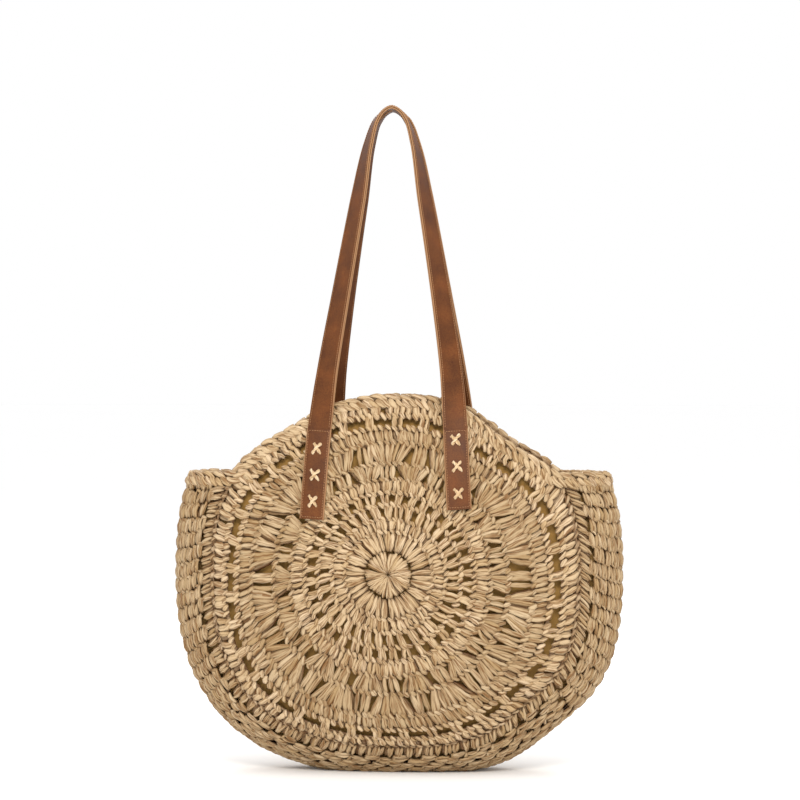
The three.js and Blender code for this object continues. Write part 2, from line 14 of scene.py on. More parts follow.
import bmesh
import bpy
import numpy as np
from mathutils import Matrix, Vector

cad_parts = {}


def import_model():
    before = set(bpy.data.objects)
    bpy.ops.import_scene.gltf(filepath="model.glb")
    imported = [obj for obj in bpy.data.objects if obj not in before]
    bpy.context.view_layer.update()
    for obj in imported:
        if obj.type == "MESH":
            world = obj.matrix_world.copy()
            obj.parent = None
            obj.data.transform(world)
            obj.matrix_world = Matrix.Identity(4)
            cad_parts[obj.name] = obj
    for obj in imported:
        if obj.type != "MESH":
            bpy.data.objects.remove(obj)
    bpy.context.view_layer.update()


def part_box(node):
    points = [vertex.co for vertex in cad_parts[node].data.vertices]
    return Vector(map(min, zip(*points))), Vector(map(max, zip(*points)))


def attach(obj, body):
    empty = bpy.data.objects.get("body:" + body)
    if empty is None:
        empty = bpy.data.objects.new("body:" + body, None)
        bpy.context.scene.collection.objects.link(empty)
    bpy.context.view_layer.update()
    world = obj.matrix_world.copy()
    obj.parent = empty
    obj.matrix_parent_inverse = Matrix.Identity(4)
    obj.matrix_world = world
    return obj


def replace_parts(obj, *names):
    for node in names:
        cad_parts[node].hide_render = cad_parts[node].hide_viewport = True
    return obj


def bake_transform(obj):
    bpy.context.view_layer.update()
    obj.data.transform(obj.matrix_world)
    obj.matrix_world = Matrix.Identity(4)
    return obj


log = logging.getLogger("beach_bag")

MM = 0.001
BAG = "bag"
WHITE = "#FFFFFF"
FLOOR_GAP = 0.2  # in millimetres, as below: the base stays this far above the floor
HINGE_SHIFT = -7.5  # the handles sit a little left of the middle
HINGE_HEIGHT = 340.0  # of the line that a handle swings about

Array = np.ndarray


# ---- Small tools -----------------------------------------


def srgb(code: str) -> tuple[float, float, float, float]:
    """Turns an sRGB hex value into the linear colour that a shader takes.

    Args:
        code: The colour, such as "#D2B587".

    Returns:
        Red, green, blue and an alpha of 1.
    """
    channels = [int(code[i : i + 2], 16) / 255 for i in (1, 3, 5)]
    linear = [c / 12.92 if c <= 0.04045 else ((c + 0.055) / 1.055) ** 2.4 for c in channels]
    return (*linear, 1.0)


def unit(vectors: Array) -> Array:
    """Scales vectors to length 1 along their last axis."""
    return vectors / np.maximum(np.linalg.norm(vectors, axis=-1, keepdims=True), 1e-9)


def set_inputs(tree: bpy.types.NodeTree, node: bpy.types.Node, inputs: dict) -> None:
    """Sets or links a node's inputs.

    Args:
        tree: The material's node tree.
        node: The node.
        inputs: Socket name or number to a value, or to the output socket that feeds it.
    """
    for name, value in inputs.items():
        if isinstance(value, bpy.types.NodeSocket):
            tree.links.new(value, node.inputs[name])
        else:
            node.inputs[name].default_value = value


def add_node(
    tree: bpy.types.NodeTree,
    kind: str,
    inputs: dict | None = None,
    stops: dict[float, str] | None = None,
    **settings: object,
) -> bpy.types.Node:
    """Adds a node with its settings, and sets or links its inputs.

    Args:
        tree: The material's node tree.
        kind: The node's type, such as "ShaderNodeBump".
        inputs: Socket name or number to a value, or to the output socket that feeds it.
        stops: The colours of a ramp: position to sRGB hex value.
        settings: The node's own properties.

    Returns:
        The new node.
    """
    node = tree.nodes.new(kind)
    for name, value in settings.items():
        setattr(node, name, value)
    set_inputs(tree, node, inputs or {})
    if stops:
        elements = node.color_ramp.elements
        while len(elements) < len(stops):
            elements.new(0.5)
        for element, (place, code) in zip(elements, sorted(stops.items())):
            element.position = place
            element.color = srgb(code)
    return node


def new_material(name: str) -> tuple[bpy.types.Material, bpy.types.NodeTree, bpy.types.Node]:
    """Makes a node material.

    Args:
        name: The material's name, after what the real one is.

    Returns:
        The material, its node tree and its Principled shader.
    """
    material = bpy.data.materials.new(name)
    material.use_nodes = True
    return material, material.node_tree, material.node_tree.nodes["Principled BSDF"]


def new_piece(
    name: str, mesh: bpy.types.Mesh, material: bpy.types.Material
) -> bpy.types.Object:
    """Puts a mesh in the scene as a named piece with one material.

    Args:
        name: The piece's name.
        mesh: Its mesh, in place.
        material: Its finish.

    Returns:
        The object.
    """
    mesh.name = name
    mesh.materials.clear()
    mesh.materials.append(material)
    piece = bpy.data.objects.new(name, mesh)
    bpy.context.scene.collection.objects.link(piece)
    return piece


def finish_mesh(
    shape: bmesh.types.BMesh, place: Callable[[Array], Array] | None = None
) -> bpy.types.Mesh:
    """Turns a bmesh into a smooth-shaded mesh, moved by a placing function if there is one.

    Args:
        shape: The bmesh, which is freed.
        place: Takes an array of points and gives them back in place.

    Returns:
        The mesh.
    """
    bmesh.ops.recalc_face_normals(shape, faces=shape.faces)
    mesh = bpy.data.meshes.new("shape")
    shape.to_mesh(mesh)
    shape.free()
    if place is not None:
        move_points(mesh, place)
    mesh.shade_smooth()
    return mesh


def move_points(mesh: bpy.types.Mesh, place: Callable[[Array], Array]) -> None:
    """Moves every point of a mesh.

    Args:
        mesh: The mesh.
        place: Takes an array of points and gives them back in place.
    """
    points = np.empty(len(mesh.vertices) * 3, np.float32)
    mesh.vertices.foreach_get("co", points)
    moved = place(points.reshape(-1, 3).astype(float))
    mesh.vertices.foreach_set("co", moved.astype(np.float32).ravel())
    mesh.update()


# ---- The bag's surface -----------------------------------


class Side(Enum):
    """Which disc or handle, by the sign of its Y."""

    FRONT = -1
    BACK = 1

    @property
    def label(self) -> str:
        """The side's name in a piece's name."""
        return self.name.lower()


class Hand(Enum):
    """Which end of a handle, by the sign of its X."""

    LEFT = -1
    RIGHT = 1

    @property
    def label(self) -> str:
        """The hand's name in a piece's name."""
        return self.name.lower()


@dataclass(frozen=True)
class BagSurface:
    """The smooth pillow that the frame's walls are layers of, in millimetres.

    Seen from the front it is a superellipse; cut from front to back, an ellipse that is squarer below.
    """

    half_widths: tuple[float, float] = (226.5, 223.0)  # left and right
    half_height: float = 205.0
    half_depth: float = 80.0
    outline_exponent: float = 2.5
    base_sink: float = 6.0
    side_fullness: float = 2.0
    base_fullness: float = 2.5
    side_seam_share: float = 0.816
    end_seam_share: float = 0.842
    shoulder_dips: tuple[float, float] = (0.055, 0.092)  # left and right
    shoulder_angles: tuple[float, float] = (math.radians(51), math.radians(50))  # where they are deepest
    shoulder_reach: float = math.radians(18)
    slump: float = 0.036  # how far the right lower corner has settled inwards, as a share
    slump_at: tuple[float, float] = (math.radians(-45), math.radians(12))
    gusset_rise: float = 95.0

    @property
    def middle(self) -> float:
        """Height of the body's middle."""
        return self.half_height - self.base_sink

    def half_width(self, x: Array) -> Array:
        """The half width on the side that x lies on."""
        return np.where(x < 0, *self.half_widths)

    def outline_radius(self, angle: Array) -> Array:
        """Measures the outline.

        Args:
            angle: Directions from the middle, in radians from +X.

        Returns:
            The distances from the middle to the outline.
        """
        cosine = np.cos(angle)
        across = (np.abs(cosine) / self.half_width(cosine)) ** self.outline_exponent
        up = (np.abs(np.sin(angle)) / self.half_height) ** self.outline_exponent
        at, reach = self.slump_at
        away = np.arctan2(np.sin(angle - at), np.cos(angle - at))
        settled = 1 - self.slump * np.exp(-((away / reach) ** 2))
        return settled * (across + up) ** (-1 / self.outline_exponent)

    def fullness(self, angle: Array) -> Array:
        """Exponent of the section from front to back."""
        below = np.maximum(0, -np.sin(angle))
        return self.side_fullness + (self.base_fullness - self.side_fullness) * below**2

    def seam_share(self, angle: Array) -> Array:
        """Finds the seam between disc and strip.

        Args:
            angle: Directions from the middle, in radians from +X.

        Returns:
            Where the seam lies, as shares of the outline.
        """
        sine, cosine = np.sin(angle), np.cos(angle)
        away = np.arctan2(sine, np.abs(cosine)) - np.where(cosine < 0, *self.shoulder_angles)
        dip = np.where(cosine < 0, *self.shoulder_dips) * np.exp(-((away / self.shoulder_reach) ** 2))
        return self.side_seam_share + (self.end_seam_share - self.side_seam_share) * sine**2 - dip

    def depth(self, angle: Array, share: Array) -> Array:
        """How far the surface stands from the middle plane."""
        power = self.fullness(angle)
        return self.half_depth * (1 - np.minimum(1, share) ** power) ** (1 / power)

    def normals(self, points: Array, angle: Array) -> Array:
        """Gives outward normals.

        Args:
            points: Points of the surface.
            angle: Their directions from the middle, in radians from +X.

        Returns:
            The normals, of length 1.
        """
        power = self.fullness(angle)
        wide = self.half_width(points[:, 0])
        dx = np.abs(points[:, 0]) / wide
        dz = np.abs(points[:, 2] - self.middle) / self.half_height
        share = (dx**self.outline_exponent + dz**self.outline_exponent) ** (1 / self.outline_exponent)
        slope = np.maximum(share, 1e-6) ** (power - self.outline_exponent)
        step = self.outline_exponent - 1
        across = slope * np.sign(points[:, 0]) * dx**step / wide
        deep = (np.abs(points[:, 1]) / self.half_depth) ** (power - 1)
        deep = np.sign(points[:, 1]) * deep / self.half_depth
        up = slope * np.sign(points[:, 2] - self.middle) * dz**step / self.half_height
        return unit(np.stack([across, deep, up], axis=1))

    def lift(self, points: Array, angle: Array, height: Array) -> Array:
        """Moves surface points out, and keeps them above the flat base.

        Args:
            points: Points of the surface.
            angle: Their directions from the middle, in radians from +X.
            height: How far out each one goes.

        Returns:
            The moved points.
        """
        lifted = points + self.normals(points, angle) * height[:, None]
        floor = np.maximum(FLOOR_GAP, -height)
        lifted[:, 2] = np.maximum(lifted[:, 2], floor)
        return lifted

    def face(self, side: Side, x: Array, z: Array, height: Array) -> Array:
        """Finds points of a disc.

        Args:
            side: Which disc.
            x: Their places along X.
            z: Their heights above the floor.
            height: How far out of the surface each one stands.

        Returns:
            The points.
        """
        angle = np.arctan2(z - self.middle, x)
        share = np.hypot(x, z - self.middle) / self.outline_radius(angle)
        points = np.stack([x, side.value * self.depth(angle, share), z], axis=1)
        return self.lift(points, angle, height)

    def strip_section(self, angle: Array, turn: Array) -> tuple[Array, Array]:
        """Cuts the surface from front to back.

        Args:
            angle: Directions from the middle, in radians from +X.
            turn: How far round each point lies from the front's middle to the back's, in radians.

        Returns:
            The points' distances from the middle, seen from the front, and their Y.
        """
        power = self.fullness(angle)
        radius = self.outline_radius(angle) * np.sin(turn) ** (2 / power)
        y = -np.sign(np.cos(turn)) * self.half_depth * np.abs(np.cos(turn)) ** (2 / power)
        return radius, y

    def strip_point(self, angle: Array, turn: Array) -> Array:
        """Points of the surface by angle from +X and turn from front to back."""
        radius, y = self.strip_section(angle, turn)
        return np.stack([np.cos(angle) * radius, y, self.middle + np.sin(angle) * radius], axis=-1)

    def seam_turn(self, angle: Array) -> Array:
        """The turn at which the front seam lies."""
        return np.arcsin(self.seam_share(angle) ** (self.fullness(angle) / 2))

    def strip_end(self, across: float, hand: Hand) -> float:
        """Finds where the strip ends, by halving.

        Args:
            across: A place across the strip, from 0 to 1.
            hand: Which of its ends.

        Returns:
            The end's angle above the level, in radians.
        """
        low, high = 0.0, math.pi / 2
        for _ in range(40):  # far finer than a strand
            angle = (low + high) / 2
            turned = np.array(angle if hand is Hand.RIGHT else math.pi - angle)
            start = self.seam_turn(turned)
            turn = start + across * (math.pi - 2 * start)
            if self.strip_point(turned, turn)[2] < self.middle + self.gusset_rise:
                low = angle
            else:
                high = angle
        return low


class Wrap(Protocol):
    """Lays flat points, in millimetres, on the bag, in metres."""

    def place(self, flat: Array) -> Array:
        """Gives the places of flat points: along, across and height."""


@dataclass(frozen=True)
class DiscWrap:
    """Lays a round flat pattern on the front or back of the bag.

    The pattern's edge, edge_radius from its middle, comes to lie on the seam.
    """

    surface: BagSurface
    side: Side
    edge_radius: float = 186.0
    centre: tuple[float, float] = (-5.0, 0.0)  # the work is a little off the disc's middle
    sag: float = 14.0  # how far its outer rounds hang towards the base, before the edge holds them

    def place(self, flat: Array) -> Array:
        """Lays flat points on the disc.

        Args:
            flat: Right, up and height, seen from outside.

        Returns:
            Their places, in metres.
        """
        radius = np.hypot(flat[:, 0], flat[:, 1])
        pull = np.clip(1 - (radius / self.edge_radius) ** 2, 0, 1)
        share = np.minimum(1, radius / self.edge_radius)
        drop = self.sag * share**2 * (1 - share**6)
        right, up = flat[:, 0] + self.centre[0] * pull, flat[:, 1] + self.centre[1] * pull - drop
        angle = np.arctan2(up, right)
        radius = np.hypot(right, up)
        if self.side is Side.BACK:
            angle = math.pi - angle
        outline = self.surface.outline_radius(angle)
        seam = outline * self.surface.seam_share(angle)
        share = radius / self.edge_radius
        # Near the middle the pattern keeps its shape, and near the edge it follows the outline.
        radius = radius * (1 + (seam / self.edge_radius - 1) * share**2)
        points = np.stack(
            [
                np.cos(angle) * radius,
                self.side.value * self.surface.depth(angle, radius / outline),
                self.surface.middle + np.sin(angle) * radius,
            ],
            axis=1,
        )
        return self.surface.lift(points, angle, flat[:, 2]) * MM


def travel(line: Array) -> Array:
    """How far along a line of points each one lies."""
    return np.concatenate([[0], np.cumsum(np.linalg.norm(np.diff(line, axis=0), axis=1))])


def read_columns(at: Array, places: Array, table: Array) -> Array:
    """Reads each column of a table at new places along it."""
    return np.stack([np.interp(at, places, column) for column in table.T], axis=1)


@dataclass
class StripWrap:
    """Lays a long flat pattern on the strip: along from its right end, under the bag, to its left end."""

    surface: BagSurface
    lengthwise: int = 260
    crosswise: int = 41
    section_steps: int = 121
    length: float = field(init=False)
    width: float = field(init=False)

    def __post_init__(self) -> None:
        """Measures the strip, and tabulates it at even steps along and across."""
        first, last = (
            np.array([self.surface.strip_end(a, hand) for a in np.linspace(0, 1, self.crosswise)])
            for hand in (Hand.RIGHT, Hand.LEFT)
        )
        rough = np.linspace(0, 1, 4 * self.lengthwise)
        centre = self.crosswise // 2
        middle_angle = first[centre] + rough * (-math.pi - first[centre] - last[centre])
        middle_line = self.surface.strip_point(middle_angle, np.full_like(middle_angle, math.pi / 2))
        travelled = travel(middle_line)
        self.length = float(travelled[-1])
        share = np.interp(np.linspace(0, self.length, self.lengthwise), travelled, rough)
        points, normals, widths = [], [], []
        fine = np.linspace(0, 1, self.section_steps)
        for along in share:
            angle = first.mean() + along * (-math.pi - first.mean() - last.mean())
            start = self.surface.seam_turn(np.array(angle))
            turns = start + fine * (math.pi - 2 * start)
            section = self.surface.strip_point(np.full_like(turns, angle), turns)
            arc = travel(section)
            even = np.interp(np.linspace(0, arc[-1], self.crosswise), arc, turns)
            angles = first + along * (-math.pi - first - last)
            row = self.surface.strip_point(angles, even)
            points.append(row)
            normals.append(self.surface.normals(row, angles))
            widths.append(arc[-1])
        self.points = np.array(points)
        self.normal_table = np.array(normals)
        self.width = float(np.mean(widths))

    def place(self, flat: Array) -> Array:
        """Lays flat points on the strip.

        Args:
            flat: Along, across from the front seam, and height.

        Returns:
            Their places, in metres.
        """
        u = np.clip(flat[:, 0] / self.length, 0, 1) * (self.lengthwise - 1)
        v = np.clip(flat[:, 1] / self.width, 0, 1) * (self.crosswise - 1)
        i = np.minimum(u.astype(int), self.lengthwise - 2)
        j = np.minimum(v.astype(int), self.crosswise - 2)
        fu, fv = (u - i)[:, None], (v - j)[:, None]

        def row(table: Array, k: Array) -> Array:
            """Reads rows k of a table between their two nearest entries."""
            return table[k, j] * (1 - fv) + table[k, j + 1] * fv

        def mixed(table: Array) -> Array:
            """Reads a table between its four nearest entries."""
            return row(table, i) * (1 - fu) + row(table, i + 1) * fu

        lifted = mixed(self.points) + unit(mixed(self.normal_table)) * flat[:, 2:3]
        lifted[:, 2] = np.maximum(lifted[:, 2], np.maximum(FLOOR_GAP, -flat[:, 2]))
        return lifted * MM


@dataclass
class MouthWrap:
    """Lays a long flat pattern round the mouth: along, down from the mouth's line, and height."""

    surface: BagSurface
    samples: int = 480
    arc_steps: int = 60  # over each disc
    end_steps: int = 16  # over each end of the strip
    smoothing: int = 6
    length: float = field(init=False)

    def __post_init__(self) -> None:
        """Tabulates the mouth's line at even steps, with its normal and its downward direction."""
        s = self.surface
        right_end, left_end = s.strip_end(0, Hand.RIGHT), math.pi - s.strip_end(0, Hand.LEFT)
        arc = np.linspace(right_end, left_end, self.arc_steps)
        ends = np.linspace(0, 1, self.end_steps)[1:-1]
        left = math.pi - np.array([s.strip_end(a, Hand.LEFT) for a in ends])
        right = np.array([s.strip_end(a, Hand.RIGHT) for a in ends])
        left_turn, right_turn = (
            s.seam_turn(a) + ends * (math.pi - 2 * s.seam_turn(a)) for a in (left, right)
        )
        front_turn = s.seam_turn(arc)
        angles = np.concatenate([arc, left, arc[::-1], right[::-1]])
        turn = np.concatenate([front_turn, left_turn, math.pi - front_turn[::-1], right_turn[::-1]])
        line = s.strip_point(angles, turn)
        normals = s.normals(line, angles)
        closed = np.vstack([line, line[:1]])
        travelled = travel(closed)
        self.length = float(travelled[-1])
        even = np.linspace(0, self.length, self.samples, endpoint=False)
        self.line = self._resampled(closed, travelled, even)
        self.normals = unit(self._resampled(np.vstack([normals, normals[:1]]), travelled, even))
        tangent = unit(np.roll(self.line, -1, axis=0) - np.roll(self.line, 1, axis=0))
        self.down = unit(np.cross(self.normals, tangent))
        self.down[self.down[:, 2] > 0] *= -1

    def _resampled(self, values: Array, travelled: Array, even: Array) -> Array:
        """Reads a closed row of values at even steps, and rounds off its corners.

        Args:
            values: The row, its first value repeated at its end.
            travelled: How far along each value lies.
            even: Where to read.

        Returns:
            The new row.
        """
        read = read_columns(even, travelled, values)
        for _ in range(self.smoothing):
            read = (np.roll(read, 1, axis=0) + 2 * read + np.roll(read, -1, axis=0)) / 4
        return read

    def place(self, flat: Array) -> Array:
        """Lays flat points round the mouth.

        Args:
            flat: Along, down and height.

        Returns:
            Their places, in metres.
        """
        u = (flat[:, 0] / self.length % 1) * self.samples
        i = u.astype(int) % self.samples
        after = (i + 1) % self.samples
        f = (u - np.floor(u))[:, None]

        def mixed(table: Array) -> Array:
            """Reads a table between its two nearest entries."""
            return table[i] * (1 - f) + table[after] * f

        outward = unit(mixed(self.normals)) * flat[:, 2:3]
        down = unit(mixed(self.down)) * flat[:, 1:2]
        return (mixed(self.line) + outward + down) * MM


# ---- Strands ---------------------------------------------


@dataclass
class Strands:
    """Creased strands laid out flat, in millimetres, and swept into one mesh.

    Each strand is a bowed line with a width, a thickness and a twist along its length. Its section is an
    ellipse with folds along it, which is how paper raffia creases when it is pulled into a stitch.
    """

    seed: int
    rings: int = 7
    sides: int = 9
    wobble: float = 0.3  # how far a strand strays from its line
    groove: float = 0.5  # depth of the fold along it, as a share of its thickness
    spread: float = 0.5  # how far the twist changes along it, in radians
    # level shifts the painted shade of the hollows, which the finish reads from the attribute height
    level: float = 0.0  # the height that counts as the pattern's face, for its shade
    fold_places: tuple = ((0.3, 1.5), (1.7, math.pi - 0.3))  # where each fold may lie round it
    fold_reach: float = 0.34
    lines: list = field(default_factory=list)
    shapes: list = field(default_factory=list)

    def __post_init__(self) -> None:
        """Starts the seeded generator for the hand-made unevenness."""
        self.rng = np.random.default_rng(self.seed)

    def add(
        self,
        start: Array,
        end: Array,
        width: float | tuple[float, float],
        thickness: float = 3.0,
        bow: tuple[float, float] = (0.0, 1.2),
        tip: float = 0.3,
        twist: float = 0.5,
    ) -> None:
        """Adds a strand from start to end.

        Args:
            start: Flat point: along, across and height.
            end: Flat point.
            width: Its width, or its widths at the start and the end.
            thickness: Its thickness.
            bow: How far its middle stands aside and up from the straight line.
            tip: Width at its very ends, as a share of its width.
            twist: The most that it is turned about its length, in radians.
        """
        start, end = np.asarray(start, float), np.asarray(end, float)
        aside = np.array([-(end - start)[1], (end - start)[0], 0])
        aside = aside / max(np.linalg.norm(aside), 1e-6)
        middle = (start + end) / 2 + 2 * (aside * bow[0] + np.array([0, 0, bow[1]]))
        t = np.linspace(0, 1, self.rings)[:, None]
        line = (1 - t) ** 2 * start + 2 * t * (1 - t) * middle + t**2 * end
        line[1:-1] += self.rng.normal(0, self.wobble, (self.rings - 2, 3)) * (0.6, 0.6, 0.4)
        self.follow(line, width, thickness, tip, twist)

    def follow(
        self, line: Array, width: float | tuple[float, float], thickness: float, tip: float, twist: float
    ) -> None:
        """Adds a strand along a line of as many flat points as it has rings.

        Args:
            line: The flat points.
            width: Its width, or its widths at the start and the end.
            thickness: Its thickness.
            tip: Width at its very ends, as a share of its width.
            twist: The most that it is turned about its length, in radians.
        """
        widths = width if isinstance(width, tuple) else (width, width)
        self.lines.append(line)
        self.shapes.append((*widths, thickness, tip, self.rng.uniform(-twist, twist)))

    def sweep(self, wrap: Wrap, name: str) -> bpy.types.Mesh:
        """Sweeps every strand's section along its line, and lays them all on the bag.

        Args:
            wrap: Where the flat pattern goes.
            name: The mesh's name.

        Returns:
            A mesh with the attributes strand, height and yarn, which the finish reads.
        """
        line = np.array(self.lines)
        first, last, thickness, tip, twist = np.array(self.shapes).T[:, :, None]
        count = len(line)
        t = np.linspace(0, 1, self.rings)[None]
        leaf = np.sin(np.pi * np.clip(0.04 + 0.92 * t, 0, 1)) ** 0.55
        swell = (tip + (1 - tip) * leaf) * self.rng.uniform(0.92, 1.08, (count, self.rings))
        half_width = (first + (last - first) * t) / 2 * swell * self.rng.uniform(0.9, 1.14, (count, 1))
        half_thickness = thickness / 2 * (0.45 + 0.55 * swell)
        turn = twist + self.rng.uniform(-1, 1, (count, 1)) * self.spread * (t - 0.5)

        tangent = unit(np.gradient(line, axis=1))
        across = unit(np.cross((0.0, 0.0, 1.0), tangent))
        above = np.cross(tangent, across)
        cosine, sine = np.cos(turn)[..., None], np.sin(turn)[..., None]
        across, above = across * cosine + above * sine, above * cosine - across * sine

        round_angle = 2 * math.pi * (np.arange(self.sides) + 0.5) / self.sides - math.pi / 2
        radius = np.ones((count, self.sides))
        for low, high in self.fold_places:
            fold = self.rng.uniform(low, high, (count, 1))
            depth = self.groove * self.rng.uniform(0.3, 1.2, (count, 1))
            radius = radius - depth * np.exp(-(((round_angle - fold) / self.fold_reach) ** 2))
        radius = radius * self.rng.uniform(0.93, 1.07, (count, self.sides))
        aside = half_width[:, :, None] * radius[:, None] * np.cos(round_angle)
        up = half_thickness[:, :, None] * radius[:, None] * np.sin(round_angle)
        sideways = across[:, :, None] * aside[..., None]
        flat = line[:, :, None] + sideways + above[:, :, None] * up[..., None]
        length = np.linalg.norm(line[:, -1] - line[:, 0], axis=1)[:, None, None]
        travelled = t[:, :, None] * length
        girth = np.broadcast_to((round_angle + math.pi / 2) * 2.2, (count, self.rings, self.sides))
        shade = self.rng.random(count)[:, None, None]
        yarn = np.stack(np.broadcast_arrays(travelled, girth, shade * 900), axis=-1) * MM

        ring, side, template = self._template()
        mesh = tiled(template, count, wrap.place(flat[:, ring, side].reshape(-1, 3)), name)
        write_vectors(mesh, "yarn", yarn[:, ring, side])
        write_numbers(mesh, "strand", np.broadcast_to(shade, girth.shape)[:, ring, side])
        # the attribute height drives the painted shade of the hollows
        write_numbers(mesh, "height", flat[:, ring, side, 2] - self.level)
        return mesh

    def _template(self) -> tuple[Array, Array, bpy.types.Mesh]:
        """Makes one capped tube, cut into rings.

        Returns:
            For each vertex its ring and its place round the ring, and the mesh.
        """
        shape = bmesh.new()
        last = self.rings - 1
        bmesh.ops.create_cone(
            shape, cap_ends=True, segments=self.sides, radius1=1, radius2=1, depth=last, calc_uvs=False
        )
        bmesh.ops.translate(shape, verts=shape.verts, vec=(0, 0, last / 2))
        for level in range(1, last):
            geometry = [*shape.verts, *shape.edges, *shape.faces]
            bmesh.ops.bisect_plane(shape, geom=geometry, plane_co=(0, 0, level), plane_no=(0, 0, 1))
        mesh = bpy.data.meshes.new("tube")
        shape.to_mesh(mesh)
        shape.free()
        points = np.empty(len(mesh.vertices) * 3, np.float32)
        mesh.vertices.foreach_get("co", points)
        points = points.reshape(-1, 3)
        start = np.arctan2(points[0, 1], points[0, 0])
        turned = (np.arctan2(points[:, 1], points[:, 0]) - start) / (2 * math.pi) * self.sides
        return np.rint(points[:, 2]).astype(int), np.rint(turned).astype(int) % self.sides, mesh


def tiled(template: bpy.types.Mesh, count: int, points: Array, name: str) -> bpy.types.Mesh:
    """Repeats a template mesh with a place for every vertex of every copy.

    Args:
        template: The mesh to repeat, which is removed.
        count: The number of copies.
        points: The places, copy by copy.
        name: The new mesh's name.

    Returns:
        The smooth-shaded mesh.
    """
    size = len(template.vertices)
    corners = np.empty(len(template.loops), np.int32)
    template.loops.foreach_get("vertex_index", corners)
    starts = np.empty(len(template.polygons), np.int32)
    template.polygons.foreach_get("loop_start", starts)
    bpy.data.meshes.remove(template)
    copy = np.arange(count, dtype=np.int32)[:, None]
    mesh = bpy.data.meshes.new(name)
    mesh.vertices.add(len(points))
    mesh.vertices.foreach_set("co", points.astype(np.float32).ravel())
    mesh.loops.add(count * len(corners))
    mesh.loops.foreach_set("vertex_index", (corners[None] + copy * size).ravel())
    mesh.polygons.add(count * len(starts))
    mesh.polygons.foreach_set("loop_start", (starts[None] + copy * len(corners)).ravel())
    mesh.update(calc_edges=True)
    mesh.shade_smooth()
    return mesh


def write_numbers(mesh: bpy.types.Mesh, name: str, values: Array) -> None:
    """Writes a number for each point as a named attribute."""
    attribute = mesh.attributes.new(name, "FLOAT", "POINT")
    attribute.data.foreach_set("value", np.asarray(values, np.float32).ravel())


def write_vectors(mesh: bpy.types.Mesh, name: str, values: Array) -> None:
    """Writes a vector for each point as a named attribute."""
    attribute = mesh.attributes.new(name, "FLOAT_VECTOR", "POINT")
    attribute.data.foreach_set("vector", np.asarray(values, np.float32).ravel())


# ---- Finishes --------------------------------------------


@dataclass(frozen=True)
class PaperRaffia:
    """Paper raffia: flat paper ribbon, twisted and crocheted, dull satin with fine lengthwise creases."""

    name: str = "paper_raffia_crochet"
    pale: str = "#C5AD8A"
    plain: str = "#B59B76"
    warm: str = "#A78A61"
    # painted shade in the creases: the colour that the crease lines are darkened to
    crease: str = "#744C20"
    # painted shade: the colour that the pattern's hollows are darkened towards
    deep: str = "#58320E"
    crease_pitch: float = 1.5 * MM  # paper creases are half this apart, too fine to show
    crease_length: float = 16 * MM
    crease_depth: float = 0.8 * MM
    # painted shade: strands below the first height take the full painted shade, and strands above the
    # second take none
    painted_shade_heights: tuple[float, float] = (-4.7, -1.3)  # heights where strands are deep and plain
    roughness: float = 0.62
    specular: float = 0.3

    def material(self) -> bpy.types.Material:
        """Makes the material. Each strand has its own tone; the pattern's hollows and its creases are
        painted with shade, browner.

        Returns:
            The material.
        """
        material, tree, shader = new_material(self.name)
        strand = add_node(tree, "ShaderNodeAttribute", attribute_name="strand")
        height = add_node(tree, "ShaderNodeAttribute", attribute_name="height")
        yarn = add_node(tree, "ShaderNodeAttribute", attribute_name="yarn")
        stops = {0.0: self.warm, 0.35: self.plain, 0.7: self.plain, 1.0: self.pale}
        shades = add_node(tree, "ShaderNodeValToRGB", {"Fac": strand.outputs["Fac"]}, stops)
        stretched = add_node(
            tree,
            "ShaderNodeVectorMath",
            {0: yarn.outputs["Vector"], 1: (1 / self.crease_length, 1 / self.crease_pitch, 1 / MM)},
            operation="MULTIPLY",
        )
        creases = add_node(
            tree, "ShaderNodeTexNoise", {"Vector": stretched.outputs[0], "Scale": 1.0, "Detail": 2.0}
        )
        # painted shade along the creases, where the crease noise is high
        span = {"From Min": 0.44, "From Max": 0.66, "To Max": 0.9}
        painted_crease_shade = add_node(tree, "ShaderNodeMapRange", {"Value": creases.outputs["Fac"], **span})
        # painted shade in the hollows: the deeper a strand lies in the pattern, the more it takes the deep
        # colour
        deep, plain = self.painted_shade_heights
        span = {"From Min": deep, "From Max": plain, "To Min": 0.9, "To Max": 0.0}
        painted_hollow_shade = add_node(tree, "ShaderNodeMapRange", {"Value": height.outputs["Fac"], **span})
        colour = shades.outputs["Color"]
        for amount, over in ((painted_crease_shade, self.crease), (painted_hollow_shade, self.deep)):
            mix = {"Factor": amount.outputs[0], "A": colour, "B": srgb(over)}
            colour = add_node(tree, "ShaderNodeMix", mix, data_type="RGBA").outputs["Result"]
        relief = {"Height": creases.outputs["Fac"], "Distance": self.crease_depth, "Strength": 0.8}
        bump = add_node(tree, "ShaderNodeBump", relief)
        look = {
            "Base Color": colour,
            "Normal": bump.outputs["Normal"],
            "Roughness": self.roughness,
            "Specular IOR Level": self.specular,
        }
        set_inputs(tree, shader, look)
        return material


